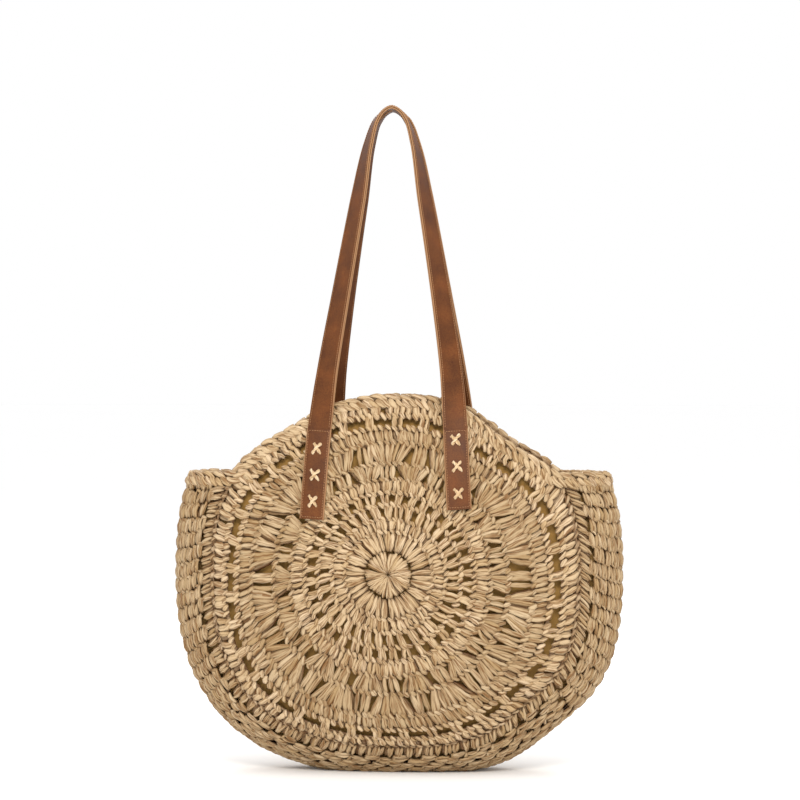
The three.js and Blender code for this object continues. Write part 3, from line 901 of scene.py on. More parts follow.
@dataclass(frozen=True)
class Leather:
    """Coated split leather: pebbled in the press, satin, with paler cut edges, whose colour is partly
    their raw colour and partly a painted highlight.
    """

    name: str = "pressed_grain_leather"
    face: str = "#6E4218"
    dark: str = "#5F3611"
    worn: str = "#7E4D20"
    # paler cut edges: their raw colour and a painted highlight where the edges catch the light
    cut: str = "#9C7450"
    grain: float = 0.9 * MM  # real grain is half this, too fine to show
    grain_depth: float = 0.09 * MM
    clouds_per_metre: float = 45.0  # patches of wear, 22 mm across
    specks_per_metre: float = 900.0
    roughness: float = 0.5
    specular: float = 0.24

    def material(self) -> bpy.types.Material:
        """Makes the material. The grain comes from cells, and the cut edges from the attribute edge.

        Returns:
            The material.
        """
        material, tree, shader = new_material(self.name)
        place = add_node(tree, "ShaderNodeTexCoord").outputs["Object"]
        cells = add_node(tree, "ShaderNodeTexVoronoi", {"Vector": place, "Scale": 1 / self.grain})
        clouds = add_node(
            tree, "ShaderNodeTexNoise", {"Vector": place, "Scale": self.clouds_per_metre, "Detail": 4.0}
        )
        fine = add_node(tree, "ShaderNodeTexNoise", {"Vector": place, "Scale": self.specks_per_metre})
        stops = {0.3: self.dark, 0.5: self.face, 0.72: self.worn}
        tones = add_node(tree, "ShaderNodeValToRGB", {"Fac": clouds.outputs["Fac"]}, stops)
        edge = add_node(tree, "ShaderNodeAttribute", attribute_name="edge")
        colour = tones.outputs["Color"]
        # the cut edges are painted paler: their raw colour, with a painted highlight where they catch the
        # light
        for amount, over, way in ((fine, self.dark, "SOFT_LIGHT"), (edge, self.cut, "MIX")):
            mix = {"Factor": amount.outputs["Fac"], "A": colour, "B": srgb(over)}
            mixed = add_node(tree, "ShaderNodeMix", mix, data_type="RGBA", blend_type=way)
            colour = mixed.outputs["Result"]
        relief = {"Height": cells.outputs["Distance"], "Distance": self.grain_depth, "Strength": 0.7}
        bump = add_node(tree, "ShaderNodeBump", relief)
        smooth, rough = self.roughness - 0.08, self.roughness + 0.12
        gloss = add_node(
            tree,
            "ShaderNodeMapRange",
            {"Value": clouds.outputs["Fac"], "To Min": smooth, "To Max": rough},
        )
        look = {
            "Base Color": colour,
            "Normal": bump.outputs["Normal"],
            "Roughness": gloss.outputs[0],
            "Specular IOR Level": self.specular,
        }
        set_inputs(tree, shader, look)
        return material


@dataclass(frozen=True)
class Thread:
    """Spun thread: matt, with a fine lay that shows as short slanting lines."""

    name: str
    colour: str
    shade: str
    lay: float = 0.7 * MM
    depth: float = 0.12 * MM
    roughness: float = 0.75

    def material(self) -> bpy.types.Material:
        """Makes the material, whose lay follows the attribute yarn.

        Returns:
            The material.
        """
        material, tree, shader = new_material(self.name)
        yarn = add_node(tree, "ShaderNodeAttribute", attribute_name="yarn")
        scaled = add_node(
            tree,
            "ShaderNodeVectorMath",
            {0: yarn.outputs["Vector"], 1: (1 / self.lay, 0.6 / self.lay, 1.0)},
            operation="MULTIPLY",
        )
        waves = add_node(
            tree,
            "ShaderNodeTexWave",
            {"Vector": scaled.outputs[0], "Scale": 0.32, "Distortion": 0.6},
            bands_direction="DIAGONAL",
        )
        stops = {0.1: self.shade, 0.7: self.colour}
        tones = add_node(tree, "ShaderNodeValToRGB", {"Fac": waves.outputs["Fac"]}, stops)
        relief = {"Height": waves.outputs["Fac"], "Distance": self.depth, "Strength": 0.6}
        bump = add_node(tree, "ShaderNodeBump", relief)
        look = {
            "Base Color": tones.outputs["Color"],
            "Normal": bump.outputs["Normal"],
            "Roughness": self.roughness,
        }
        set_inputs(tree, shader, look)
        return material


@dataclass(frozen=True)
class WovenCloth:
    """Plain woven cloth: matt, its threads crossing over and under in both directions."""

    name: str
    colour: str
    shade: str
    pitch: float = 1.0 * MM  # real threads are 0.4 mm apart, too fine to show
    depth: float = 0.14 * MM
    roughness: float = 0.85
    sheen: float = 0.15

    def material(self) -> bpy.types.Material:
        """Makes the material, whose threads follow the attribute weave.

        Returns:
            The material.
        """
        material, tree, shader = new_material(self.name)
        weave = add_node(tree, "ShaderNodeAttribute", attribute_name="weave")
        scaled = add_node(
            tree,
            "ShaderNodeVectorMath",
            {0: weave.outputs["Vector"], "Scale": 1 / self.pitch},
            operation="SCALE",
        )
        threads = {"Vector": scaled.outputs[0], "Scale": 0.31, "Distortion": 0.7}
        warp = add_node(tree, "ShaderNodeTexWave", threads, bands_direction="X")
        weft = add_node(tree, "ShaderNodeTexWave", threads, bands_direction="Y")
        crossed = add_node(
            tree, "ShaderNodeMath", {0: warp.outputs["Fac"], 1: weft.outputs["Fac"]}, operation="MULTIPLY"
        )
        slubs = add_node(
            tree, "ShaderNodeTexNoise", {"Vector": scaled.outputs[0], "Scale": 0.12, "Detail": 3.0}
        )
        stops = {0.32: self.shade, 0.62: self.colour}
        tones = add_node(tree, "ShaderNodeValToRGB", {"Fac": slubs.outputs["Fac"]}, stops)
        shaded = add_node(
            tree,
            "ShaderNodeMix",
            {"Factor": crossed.outputs[0], "A": srgb(self.shade), "B": tones.outputs["Color"]},
            data_type="RGBA",
        )
        relief = {"Height": crossed.outputs[0], "Distance": self.depth, "Strength": 0.6}
        bump = add_node(tree, "ShaderNodeBump", relief)
        look = {
            "Base Color": shaded.outputs["Result"],
            "Normal": bump.outputs["Normal"],
            "Roughness": self.roughness,
            "Sheen Weight": self.sheen,
        }
        set_inputs(tree, shader, look)
        return material


@dataclass(frozen=True)
class Brass:
    """Plated brass, stamped and polished: warm and bright, with fine scuffs that dull it in patches."""

    name: str = "polished_brass_plating"
    bright: str = "#D9B36A"
    dull: str = "#B58A45"
    scuff: float = 1.4 * MM
    scuff_depth: float = 0.02 * MM
    roughness: float = 0.24

    def material(self) -> bpy.types.Material:
        """Makes the material.

        Returns:
            The material.
        """
        material, tree, shader = new_material(self.name)
        place = add_node(tree, "ShaderNodeTexCoord").outputs["Object"]
        scuffs = add_node(
            tree, "ShaderNodeTexNoise", {"Vector": place, "Scale": 1 / self.scuff, "Detail": 6.0}
        )
        stops = {0.3: self.dull, 0.6: self.bright}
        tones = add_node(tree, "ShaderNodeValToRGB", {"Fac": scuffs.outputs["Fac"]}, stops)
        rough, smooth = self.roughness + 0.16, self.roughness - 0.06
        gloss = add_node(
            tree,
            "ShaderNodeMapRange",
            {"Value": scuffs.outputs["Fac"], "To Min": rough, "To Max": smooth},
        )
        relief = {"Height": scuffs.outputs["Fac"], "Distance": self.scuff_depth, "Strength": 0.4}
        bump = add_node(tree, "ShaderNodeBump", relief)
        look = {
            "Base Color": tones.outputs["Color"],
            "Roughness": gloss.outputs[0],
            "Normal": bump.outputs["Normal"],
            "Metallic": 1.0,
        }
        set_inputs(tree, shader, look)
        return material


@dataclass(frozen=True)
class DrawnNylon:
    """Nylon filament, drawn and set: smooth and slightly waxy, a little uneven in tone."""

    name: str = "drawn_nylon_filament"
    colour: str = "#CDB48A"
    shade: str = "#B2976B"
    clouds_per_metre: float = 260.0
    depth: float = 0.03 * MM
    roughness: float = 0.38
    ior: float = 1.53

    def material(self) -> bpy.types.Material:
        """Makes the material.

        Returns:
            The material.
        """
        material, tree, shader = new_material(self.name)
        place = add_node(tree, "ShaderNodeTexCoord").outputs["Object"]
        clouds = add_node(
            tree, "ShaderNodeTexNoise", {"Vector": place, "Scale": self.clouds_per_metre, "Detail": 3.0}
        )
        stops = {0.35: self.shade, 0.6: self.colour}
        tones = add_node(tree, "ShaderNodeValToRGB", {"Fac": clouds.outputs["Fac"]}, stops)
        relief = {"Height": clouds.outputs["Fac"], "Distance": self.depth, "Strength": 0.5}
        bump = add_node(tree, "ShaderNodeBump", relief)
        look = {
            "Base Color": tones.outputs["Color"],
            "Normal": bump.outputs["Normal"],
            "Roughness": self.roughness,
            "IOR": self.ior,
        }
        set_inputs(tree, shader, look)
        return material


# ---- Crochet ---------------------------------------------


BEHIND_THICKNESS = 2.4  # of the plain strands that close the gaps from behind


def polar(angle: float, radius: float, aside: float, height: float) -> Array:
    """A flat point by direction and distance from the middle.

    Args:
        angle: Direction, in radians from the right.
        radius: Distance from the middle.
        aside: Distance from that direction's line, anticlockwise.
        height: Height above the pattern's plane.

    Returns:
        The flat point.
    """
    c, s = math.cos(angle), math.sin(angle)
    return np.array([c * radius - s * aside, s * radius + c * aside, height])


@dataclass(frozen=True)
class Round:
    """One kind of stitch group, repeated round a disc. Sizes are in millimetres."""

    repeats: int
    strands: int
    inner: float
    outer: float
    inner_pitch: float  # between a group's strands, at its foot
    outer_pitch: float  # and at its top
    width: tuple[float, float]
    lean: float = 0.0  # how far a group's top stands anticlockwise of its foot
    phase: float = 0.0  # share of a repeat that the group is turned by
    dense: bool = True  # whether strands lie behind the gaps between these
    thickness: float = 3.6
    heights: tuple[float, float] = (-3.4, -2.8)  # of a strand's foot and top
    behind: tuple[float, float] = (-4.8, -4.6)  # the same for the strands behind

    def work(self, strands: Strands) -> None:
        """Adds the round's strands.

        Args:
            strands: The flat pattern that they are added to.
        """
        rng = strands.rng
        for k in range(self.repeats):
            angle = 2 * math.pi * (k + self.phase + rng.normal(0, 0.03)) / self.repeats
            lean = self.lean + rng.normal(0, 1.0)
            for i in range(self.strands):
                place = i - (self.strands - 1) / 2
                stray = rng.normal(0, 0.65, 2)
                aside = place * self.inner_pitch + stray[0]
                foot = polar(angle, self.inner - 1.8 + rng.normal(0, 0.5), aside, self.heights[0])
                aside = place * self.outer_pitch + lean + stray[1]
                top = polar(angle, self.outer + rng.normal(1.0, 0.8), aside, self.heights[1])
                bow = (rng.normal(0, 0.5), 1.5 + rng.normal(0, 0.3))
                strands.add(foot, top, self.width, self.thickness, bow)
                if self.dense:
                    between = place + 0.5
                    foot = polar(angle, self.inner - 1, between * self.inner_pitch, self.behind[0])
                    top = polar(angle, self.outer, between * self.outer_pitch + lean, self.behind[1])
                    strands.add(foot, top, self.width, BEHIND_THICKNESS, (0, 0.2), tip=0.7)


@dataclass(frozen=True)
class Heads:
    """The heads of a round's stitches: short slanting strands across its edge, one against the next."""

    radius: float
    count: int
    width: float = 4.4
    height: float = -2.7
    reach: float = 6.0  # from a head's start to its end, outwards
    slant: float = 0.8  # the same round the disc, as a share of the step to the next
    thickness: float = 3.3
    beneath: float = -4.7  # height of the strands beneath

    def work(self, strands: Strands) -> None:
        """Adds the heads, and the plain strands beneath them.

        Args:
            strands: The flat pattern that they are added to.
        """
        rng = strands.rng
        step = 2 * math.pi / self.count
        for k in range(self.count):
            turn = (k + rng.normal(0, 0.08)) * step
            low = self.radius - self.reach / 2 + rng.normal(0, 0.6)
            high = self.radius + self.reach / 2 + rng.normal(0, 0.6)
            near = polar(turn, low, 0, self.height - 0.5)
            far = polar(turn + self.slant * step, high, 0, self.height - 0.2)
            width = self.width * rng.uniform(0.85, 1.15)
            strands.add(near, far, width, self.thickness, (-0.4, 1.1), tip=0.35)
            near = polar(turn, self.radius, 0, self.beneath)
            far = polar(turn + 1.2 * step, self.radius, 0, self.beneath)
            strands.add(near, far, self.reach * 0.7, 2.2, (0, 0.1), tip=0.9)


@dataclass
class Disc:
    """The crocheted front or back of the bag, worked in rounds from its middle."""

    surface: BagSurface
    side: Side
    centre: tuple = (
        Round(21, 2, 3.6, 21.0, 0.5, 2.7, (1.8, 5.4)),
        Round(21, 2, 25.0, 42.0, 2.8, 5.6, (4.2, 6.6), 1.4),
        Heads(43.5, 44, 4.4, -3.0, 5.0),
        Round(38, 2, 45.5, 54.0, 2.6, 4.6, (4.0, 5.0), 1.0),
        Heads(56.0, 58, 4.4, -2.9, 5.4),
        Round(36, 2, 57.5, 69.5, 2.6, 4.0, (4.2, 5.0), 3.4, 0.0, False),
        Heads(70.8, 72, 4.4, -2.6, 5.0),
        Round(36, 2, 72.5, 82.5, 2.4, 5.0, (4.2, 4.8), 1.4, 0.3, False),
        Heads(84.2, 84, 4.6, -2.6, 5.4),
        Round(36, 4, 86.5, 97.0, 3.2, 4.2, (4.2, 5.2), 1.2, 0.1),
    )
    fans: tuple = (
        Heads(98.8, 96, 4.6, -3.0),
        Round(14, 7, 100.0, 115.0, 2.0, 4.8, (3.4, 6.0), 0.0, 0.0),
        Round(14, 3, 100.0, 114.0, 4.6, 6.0, (4.8, 5.8), 0.8, 0.5, False),
        Heads(116.4, 112, 4.8, -2.8),
        Round(14, 8, 117.5, 139.5, 2.6, 6.2, (4.0, 7.4), 0.0, 0.5),
        Round(14, 3, 117.5, 138.5, 6.0, 5.2, (5.8, 5.6), 0.8, 0.0, False),
        Heads(141.0, 130, 5.0, -2.8, 6.4),
        Round(92, 2, 143.0, 154.0, 4.4, 5.6, (5.0, 6.2), 3.6, 0.2),
    )
    border: tuple = (
        Heads(157.4, 146, 5.0, -2.5, 6.6),
        Round(37, 2, 157.5, 169.5, 4.6, 5.0, (5.0, 5.6), 1.6, 0.1, False),
        Heads(170.6, 158, 5.0, -2.5, 6.6),
        Round(37, 4, 172.0, 182.0, 6.2, 7.8, (6.0, 7.6), 2.4, 0.1),
        Heads(185.2, 130, 4.4, -4.2, 4.4),
    )

    def build(self, straw: bpy.types.Material, painted_light_straw: bpy.types.Material) -> list[bpy.types.Object]:
        """Works the disc's three bands of rounds, which stand for its panel and its seam.

        Args:
            straw: The finish of the fans.
            painted_light_straw: The finish of the centre and the border: a lighter copy of the straw,
                painted light where more light falls on them.

        Returns:
            The pieces.
        """
        wrap = DiscWrap(self.surface, self.side)
        pieces = []
        bands = {"centre": self.centre, "fans": self.fans, "border": self.border}
        for number, (band, rounds) in enumerate(bands.items()):
            strands = Strands(seed=11 + number + 7 * self.side.value)
            for worked in rounds:
                worked.work(strands)
            name = f"{self.side.label}_crochet_{band}"
            # the centre and the border take the lighter copy of the straw, which is painted light
            finish = straw if band == "fans" else painted_light_straw
            piece = new_piece(name, strands.sweep(wrap, name), finish)
            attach(piece, BAG)
            pieces.append(piece)
        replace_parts(pieces[0], f"{self.side.label}_panel")
        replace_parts(pieces[2], f"{self.side.label}_seam")
        return pieces


@dataclass
class Gusset:
    """The crocheted strip that makes the sides and the base, worked in rows across its width."""

    wrap: StripWrap
    row_height: float = 15.4
    column_pitch: float = 7.8
    border_width: float = 13.0
    border_pitch: float = 5.2
    behind: float = -4.9  # height of the strands behind
    head_share: float = 0.8  # how many stitches show their head
    brick_rows: tuple[float, float] = (0.27, 0.73)  # the base's share of the rows, where they interlock
    parts: tuple = ("right", "base", "left")

    def build(self, straw: bpy.types.Material) -> list[bpy.types.Object]:
        """Works the strip in three lengths, which stand for the gusset.

        Args:
            straw: Its finish.

        Returns:
            The pieces.
        """
        pieces = []
        rows = round(self.wrap.length / self.row_height)
        for number, part in enumerate(self.parts):
            strands = Strands(seed=41 + number)
            first = rows * number // len(self.parts)
            last = rows * (number + 1) // len(self.parts)
            pitch = self.wrap.length / rows
            for row in range(first, last):
                brick = self.brick_rows[0] < (row + 0.5) / rows < self.brick_rows[1]
                self._row(strands, row, row * pitch, pitch, brick)
            self._borders(strands, first * pitch, last * pitch)
            name = f"gusset_crochet_{part}"
            piece = new_piece(name, strands.sweep(self.wrap, name), straw)
            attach(piece, BAG)
            pieces.append(piece)
        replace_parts(pieces[1], "gusset")
        return pieces

    def _row(self, strands: Strands, number: int, start: float, pitch: float, brick: bool) -> None:
        """Adds a row of V stitches, each between two of the row before.

        Args:
            strands: The flat pattern.
            number: The row's number.
            start: Its place along the strip.
            pitch: Its height along the strip.
            brick: Whether every other stitch stands half a row on, as on the base.
        """
        rng = strands.rng
        inside = self.wrap.width - 2 * self.border_width
        columns = round(inside / self.column_pitch)
        step = inside / columns
        for k in range(columns):
            middle = self.border_width + (k + 0.25 + 0.5 * (number % 2) + rng.normal(0, 0.07)) * step
            low = start + rng.normal(0, 0.7) + (pitch / 2 if brick and k % 2 else 0)
            for hand in (-1, 1):
                near = low + rng.normal(0.6, 0.5)
                foot = (near, middle + hand * 0.14 * step + rng.normal(0, 0.35), -3.6)
                far = low + pitch + rng.normal(0.4, 0.9)
                top = (far, middle + hand * 0.3 * step + rng.normal(0, 0.7), -2.9 + rng.normal(0, 0.25))
                strands.add(foot, top, (4.0, 4.8), 4.0, (rng.normal(0, 0.5), 1.7))
            between = middle + step / 2
            foot, top = (low, between, self.behind), (low + pitch, between, self.behind)
            strands.add(foot, top, 5.4, BEHIND_THICKNESS, (0, 0.2), 0.8)
            if rng.random() < self.head_share:
                head = low + pitch + rng.normal(0, 0.8)
                near = (head - 2.0, middle - step * 0.45, -3.1)
                far = (head + 1.8, middle + step * 0.35, -2.9)
                strands.add(near, far, 3.8, 3.2, (0.4, 1.0))

    def _borders(self, strands: Strands, start: float, end: float) -> None:
        """Adds the short stitches along both seams, in leaning pairs.

        Args:
            strands: The flat pattern.
            start: Where they start along the strip.
            end: Where they end.
        """
        rng = strands.rng
        count = round((end - start) / self.border_pitch)
        for k in range(count):
            along = start + (k + 0.5 + rng.normal(0, 0.1)) * (end - start) / count
            for near, far in (
                (1.0, self.border_width - 0.5),
                (self.wrap.width - 1.0, self.wrap.width - self.border_width + 0.5),
            ):
                shift = (4.2 if k % 2 else 0.4) + rng.normal(0, 1.2)
                top = (along + shift, far + rng.normal(0, 0.9), -2.8)
                strands.add((along, near, -3.6), top, (4.6, 5.4), 3.8, (rng.normal(0, 0.6), 1.5))
                foot, top = (along + 2.8, near, -4.8), (along + 2.8 + shift, far, -4.8)
                strands.add(foot, top, 5.4, BEHIND_THICKNESS, (0, 0.2), 0.7)


@dataclass
class Edging:
    """The braided row of stitches round the mouth."""

    wrap: MouthWrap
    pitch: float = 6.6
    # height that counts as the braid's face, for the painted shade of its hollows
    level: float = -3.2

    def build(self, straw: bpy.types.Material) -> bpy.types.Object:
        """Braids the edging, which stands for the mouth's edging.

        Args:
            straw: Its finish.

        Returns:
            The piece.
        """
        strands = Strands(seed=71, level=self.level)
        rng = strands.rng
        count = round(self.wrap.length / self.pitch)
        step = self.wrap.length / count
        for k in range(count):
            along = k * step
            jitter = rng.normal(0, 0.6, 6)
            low = (along + jitter[5], 9.6 + jitter[0], -1.6)
            strands.add(low, (along + 8.6, 1.4 + jitter[4], 0.0), (5.6, 6.8), 4.4, (0.6, 1.1))
            if k % 2:
                near, far = (along - 2.0, 3.0 + jitter[1], -0.4), (along + 14.0, -3.0 + jitter[1], -1.0)
                strands.add(near, far, (6.0, 5.4), 4.6, (-1.4, 1.0), twist=0.3)
                near, far = (along + 2.0, -3.8, -2.2), (along + 16.0, -3.0 + jitter[2], -5.0)
                strands.add(near, far, (5.2, 5.8), 4.2, (0.8, 0.5))
            near, far = (along, -1.6, -5.2), (along + 8.5, 1.6 + jitter[3], -5.6)
            strands.add(near, far, (5.0, 5.6), 3.4, (0.5, -0.4))
            strands.add((along, 8.4, -5.0), (along + 8.0, 1.6, -5.0), (5.6, 6.2), 3.4, (0.4, -0.3))
        piece = new_piece("mouth_braid", strands.sweep(self.wrap, "mouth_braid"), straw)
        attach(piece, BAG)
        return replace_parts(piece, "mouth_edging")


# ---- Leather ---------------------------------------------


def tube(section: Array, stations: Array) -> bmesh.types.BMesh:
    """Makes a closed bar along the first axis, with a cut section of across, height and edge.

    Args:
        section: One row for each corner: its place across, its height, and 1 where it is a cut edge.
        stations: Places along the bar.

    Returns:
        The bmesh, with the section's last column in the layer edge.
    """
    shape = bmesh.new()
    rows, columns = len(stations) - 1, len(section)
    bmesh.ops.create_grid(shape, x_segments=rows, y_segments=columns, size=0.5)
    edge = shape.verts.layers.float.new("edge")
    for vert in shape.verts:
        corner = section[round((vert.co.y + 0.5) * columns) % columns]
        vert.co = (stations[round((vert.co.x + 0.5) * rows)], corner[0], corner[1])
        vert[edge] = corner[2]
    bmesh.ops.remove_doubles(shape, verts=shape.verts, dist=1e-4)
    bmesh.ops.holes_fill(shape, edges=[e for e in shape.edges if e.is_boundary], sides=0)
    return shape


def band_section(width: float, low: float, high: float) -> Array:
    """The cut section of a leather band with rounded edges, for tube.

    Args:
        width: The band's width.
        low: Height of its lower face.
        high: Height of its upper face.

    Returns:
        Across, height and edge for each corner, once round.
    """
    rise, middle = (high - low) / 2, (high + low) / 2
    flat = width / 2 - rise
    faces = np.linspace(-flat, flat, 7)
    turns = np.radians(np.linspace(90, -90, 7)[1:-1])
    rows = [(x, high, 0.0) for x in faces]
    rows += [(flat + rise * math.cos(a), middle + rise * math.sin(a), 1.0) for a in turns]
    rows += [(x, low, 0.0) for x in faces[::-1]]
    rows += [(-flat - rise * math.cos(a), middle - rise * math.sin(a), 1.0) for a in turns]
    return np.array(rows)


@dataclass(frozen=True)
class TabWrap:
    """Lays a flat pattern on a tab's place: down from the hinge, across, and height above the wall."""

    surface: BagSurface
    side: Side
    hand: Hand
    spacing: float = 67.0  # from the handle's middle
    lean: float = math.radians(3.6)

    def place(self, flat: Array) -> Array:
        """Lays flat points on the tab's place.

        Args:
            flat: Down, across and height.

        Returns:
            Their places, in metres.
        """
        down, across = flat[:, 0], -self.side.value * flat[:, 1]
        lean = self.hand.value * self.lean
        x = HINGE_SHIFT + self.hand.value * self.spacing + across * math.cos(lean) + down * math.sin(lean)
        z = HINGE_HEIGHT - down * math.cos(lean) + across * math.sin(lean)
        return self.surface.face(self.side, x, z, flat[:, 2]) * MM


@dataclass
class HandleWrap:
    """Lays a flat pattern on a handle: along from its left foot, across, and height from its middle.

    Past both feet the handle runs on a little way down the wall, where the tabs cover it.
    """

    surface: BagSurface
    side: Side
    foot_height: float = 1.4
    hinge_gap: float = 0.6
    apex_depth: float = 13.5
    apex_rise: float = 320.0
    arch_turn: float = math.radians(7.0)
    # A leg's stations: rise above the hinge, distance from the middle, turn outwards in degrees.
    stations: tuple = ((55, 61.5, 30), (130, 50, 42), (230, 33, 55), (284, 23, 72), (310, 13.5, 82))
    tail: float = 9.0
    tail_downs: tuple = (1.2, 3.4, 6.0)
    tail_heights: tuple = (1.1, 0.4, -0.4, -0.8)
    curve_steps: int = 1600
    samples: int = 420
    length: float = field(init=False)

    def __post_init__(self) -> None:
        """Tabulates the handle's line and its normals at even steps."""
        legs = {hand: self._leg(hand) for hand in Hand}
        top = np.array([HINGE_SHIFT, self.side.value * self.apex_depth, HINGE_HEIGHT + self.apex_rise])
        stations = [*legs[Hand.LEFT], (top, np.array([0, 0, 1.0])), *legs[Hand.RIGHT][::-1]]
        share = np.linspace(0, 1, self.curve_steps)
        line = catmull_rom(np.array([p for p, _ in stations]), share)
        normals = catmull_rom(np.array([n for _, n in stations]), share)
        line = np.vstack([self._tail(Hand.LEFT)[::-1], line, self._tail(Hand.RIGHT)])
        ends = len(self.tail_heights)
        normals = np.vstack([normals[:1]] * ends + [normals] + [normals[-1:]] * ends)
        travelled = travel(line)
        start = travelled[ends]
        self.length = float(travelled[-ends - 1] - start)
        even = np.linspace(0, travelled[-1], self.samples)
        self.along = even - start
        self.line = read_columns(even, travelled, line)
        normals = read_columns(even, travelled, normals)
        tangent = unit(np.gradient(self.line, axis=0))
        self.normals = unit(normals - tangent * np.sum(normals * tangent, axis=1, keepdims=True))
        self.across = np.cross(self.normals, tangent)

    def _leg(self, hand: Hand) -> list[tuple[Array, Array]]:
        """Works out one leg.

        Args:
            hand: Which leg.

        Returns:
            The places and normals of its stations, from its foot up.
        """
        tab = TabWrap(self.surface, self.side, hand)
        foot = tab.place(np.array([[-self.hinge_gap, 0, self.foot_height]]))[0] / MM
        outward = unit(tab.place(np.array([[0.0, 0, 0]]))[0] - tab.place(np.array([[0.0, 0, -1]]))[0])
        leg = [(foot, outward)]
        for rise, spread, twist in self.stations:
            share = rise / self.apex_rise
            turn = self.arch_turn * share
            c, s = math.cos(turn), math.sin(turn)
            apex_y = self.side.value * self.apex_depth
            x, y = hand.value * spread, foot[1] * (1 - share)
            depth = s * x + c * y + apex_y * share
            point = np.array([c * x - s * y + HINGE_SHIFT, depth, HINGE_HEIGHT + rise])
            nx = hand.value * math.sin(math.radians(twist))
            ny = self.side.value * math.cos(math.radians(twist))
            leg.append((point, np.array([c * nx - s * ny, s * nx + c * ny, 0])))
        return leg

    def _tail(self, hand: Hand) -> Array:
        """Runs the line on below a foot, sinking under the tab.

        Args:
            hand: Which leg's foot.

        Returns:
            The places, from the foot down.
        """
        down = np.array([*self.tail_downs, self.tail])
        flat = np.stack([down, 0 * down, self.tail_heights], axis=1)
        return TabWrap(self.surface, self.side, hand).place(flat) / MM

    def place(self, flat: Array) -> Array:
        """Lays flat points on the handle.

        Args:
            flat: Along, across and height.

        Returns:
            Their places, in metres.
        """
        line, across, normals = (
            read_columns(flat[:, 0], self.along, table) for table in (self.line, self.across, self.normals)
        )
        return (line + unit(across) * flat[:, 1:2] + unit(normals) * flat[:, 2:3]) * MM


def catmull_rom(points: Array, share: Array) -> Array:
    """Reads a centripetal Catmull-Rom curve through points at shares from 0 to 1.

    Args:
        points: The curve's stations.
        share: Where to read it, in even steps of station.

    Returns:
        The places.
    """
    before, after = 2 * points[0] - points[1], 2 * points[-1] - points[-2]
    all_points = np.vstack([before, points, after])
    spans = len(points) - 1
    span = np.minimum((share * spans).astype(int), spans - 1)
    weight = (share * spans - span)[:, None]
    p = [all_points[span + k] for k in range(4)]
    reach = [np.linalg.norm(p[k + 1] - p[k], axis=1) for k in range(3)]
    a, b, c = (np.sqrt(np.maximum(length, 1e-4))[:, None] for length in reach)
    first = ((p[1] - p[0]) / a - (p[2] - p[0]) / (a + b) + (p[2] - p[1]) / b) * b
    last = ((p[2] - p[1]) / b - (p[3] - p[1]) / (b + c) + (p[3] - p[2]) / c) * b
    w2, w3 = weight**2, weight**3
    curve = p[1] * (2 * w3 - 3 * w2 + 1) + p[2] * (3 * w2 - 2 * w3)
    return curve + first * (w3 - 2 * w2 + weight) + last * (w3 - w2)


@dataclass
class Stitching:
    """Machine stitches in thread: short raised dashes along flat lines."""

    seed: int
    pitch: float = 2.5
    length: float = 1.9
    thickness: float = 0.7

    def __post_init__(self) -> None:
        """Starts the strands that the stitches are swept from."""
        self.strands = Strands(self.seed, rings=4, sides=6, wobble=0.03, groove=0.0, spread=0.0)

    def run(self, start: Array, end: Array) -> None:
        """Adds a row of stitches.

        Args:
            start: The flat point where it starts.
            end: Where it ends.
        """
        start, end = np.asarray(start, float), np.asarray(end, float)
        reach = np.linalg.norm(end - start)
        count = max(1, round(reach / self.pitch))
        ahead = (end - start) / reach
        for k in range(count):
            middle = start + ahead * (k + 0.5) * reach / count
            half, thick = ahead * self.length / 2, self.thickness
            self.strands.add(middle - half, middle + half, thick, thick, (0, 0.07), 0.35, 0.0)


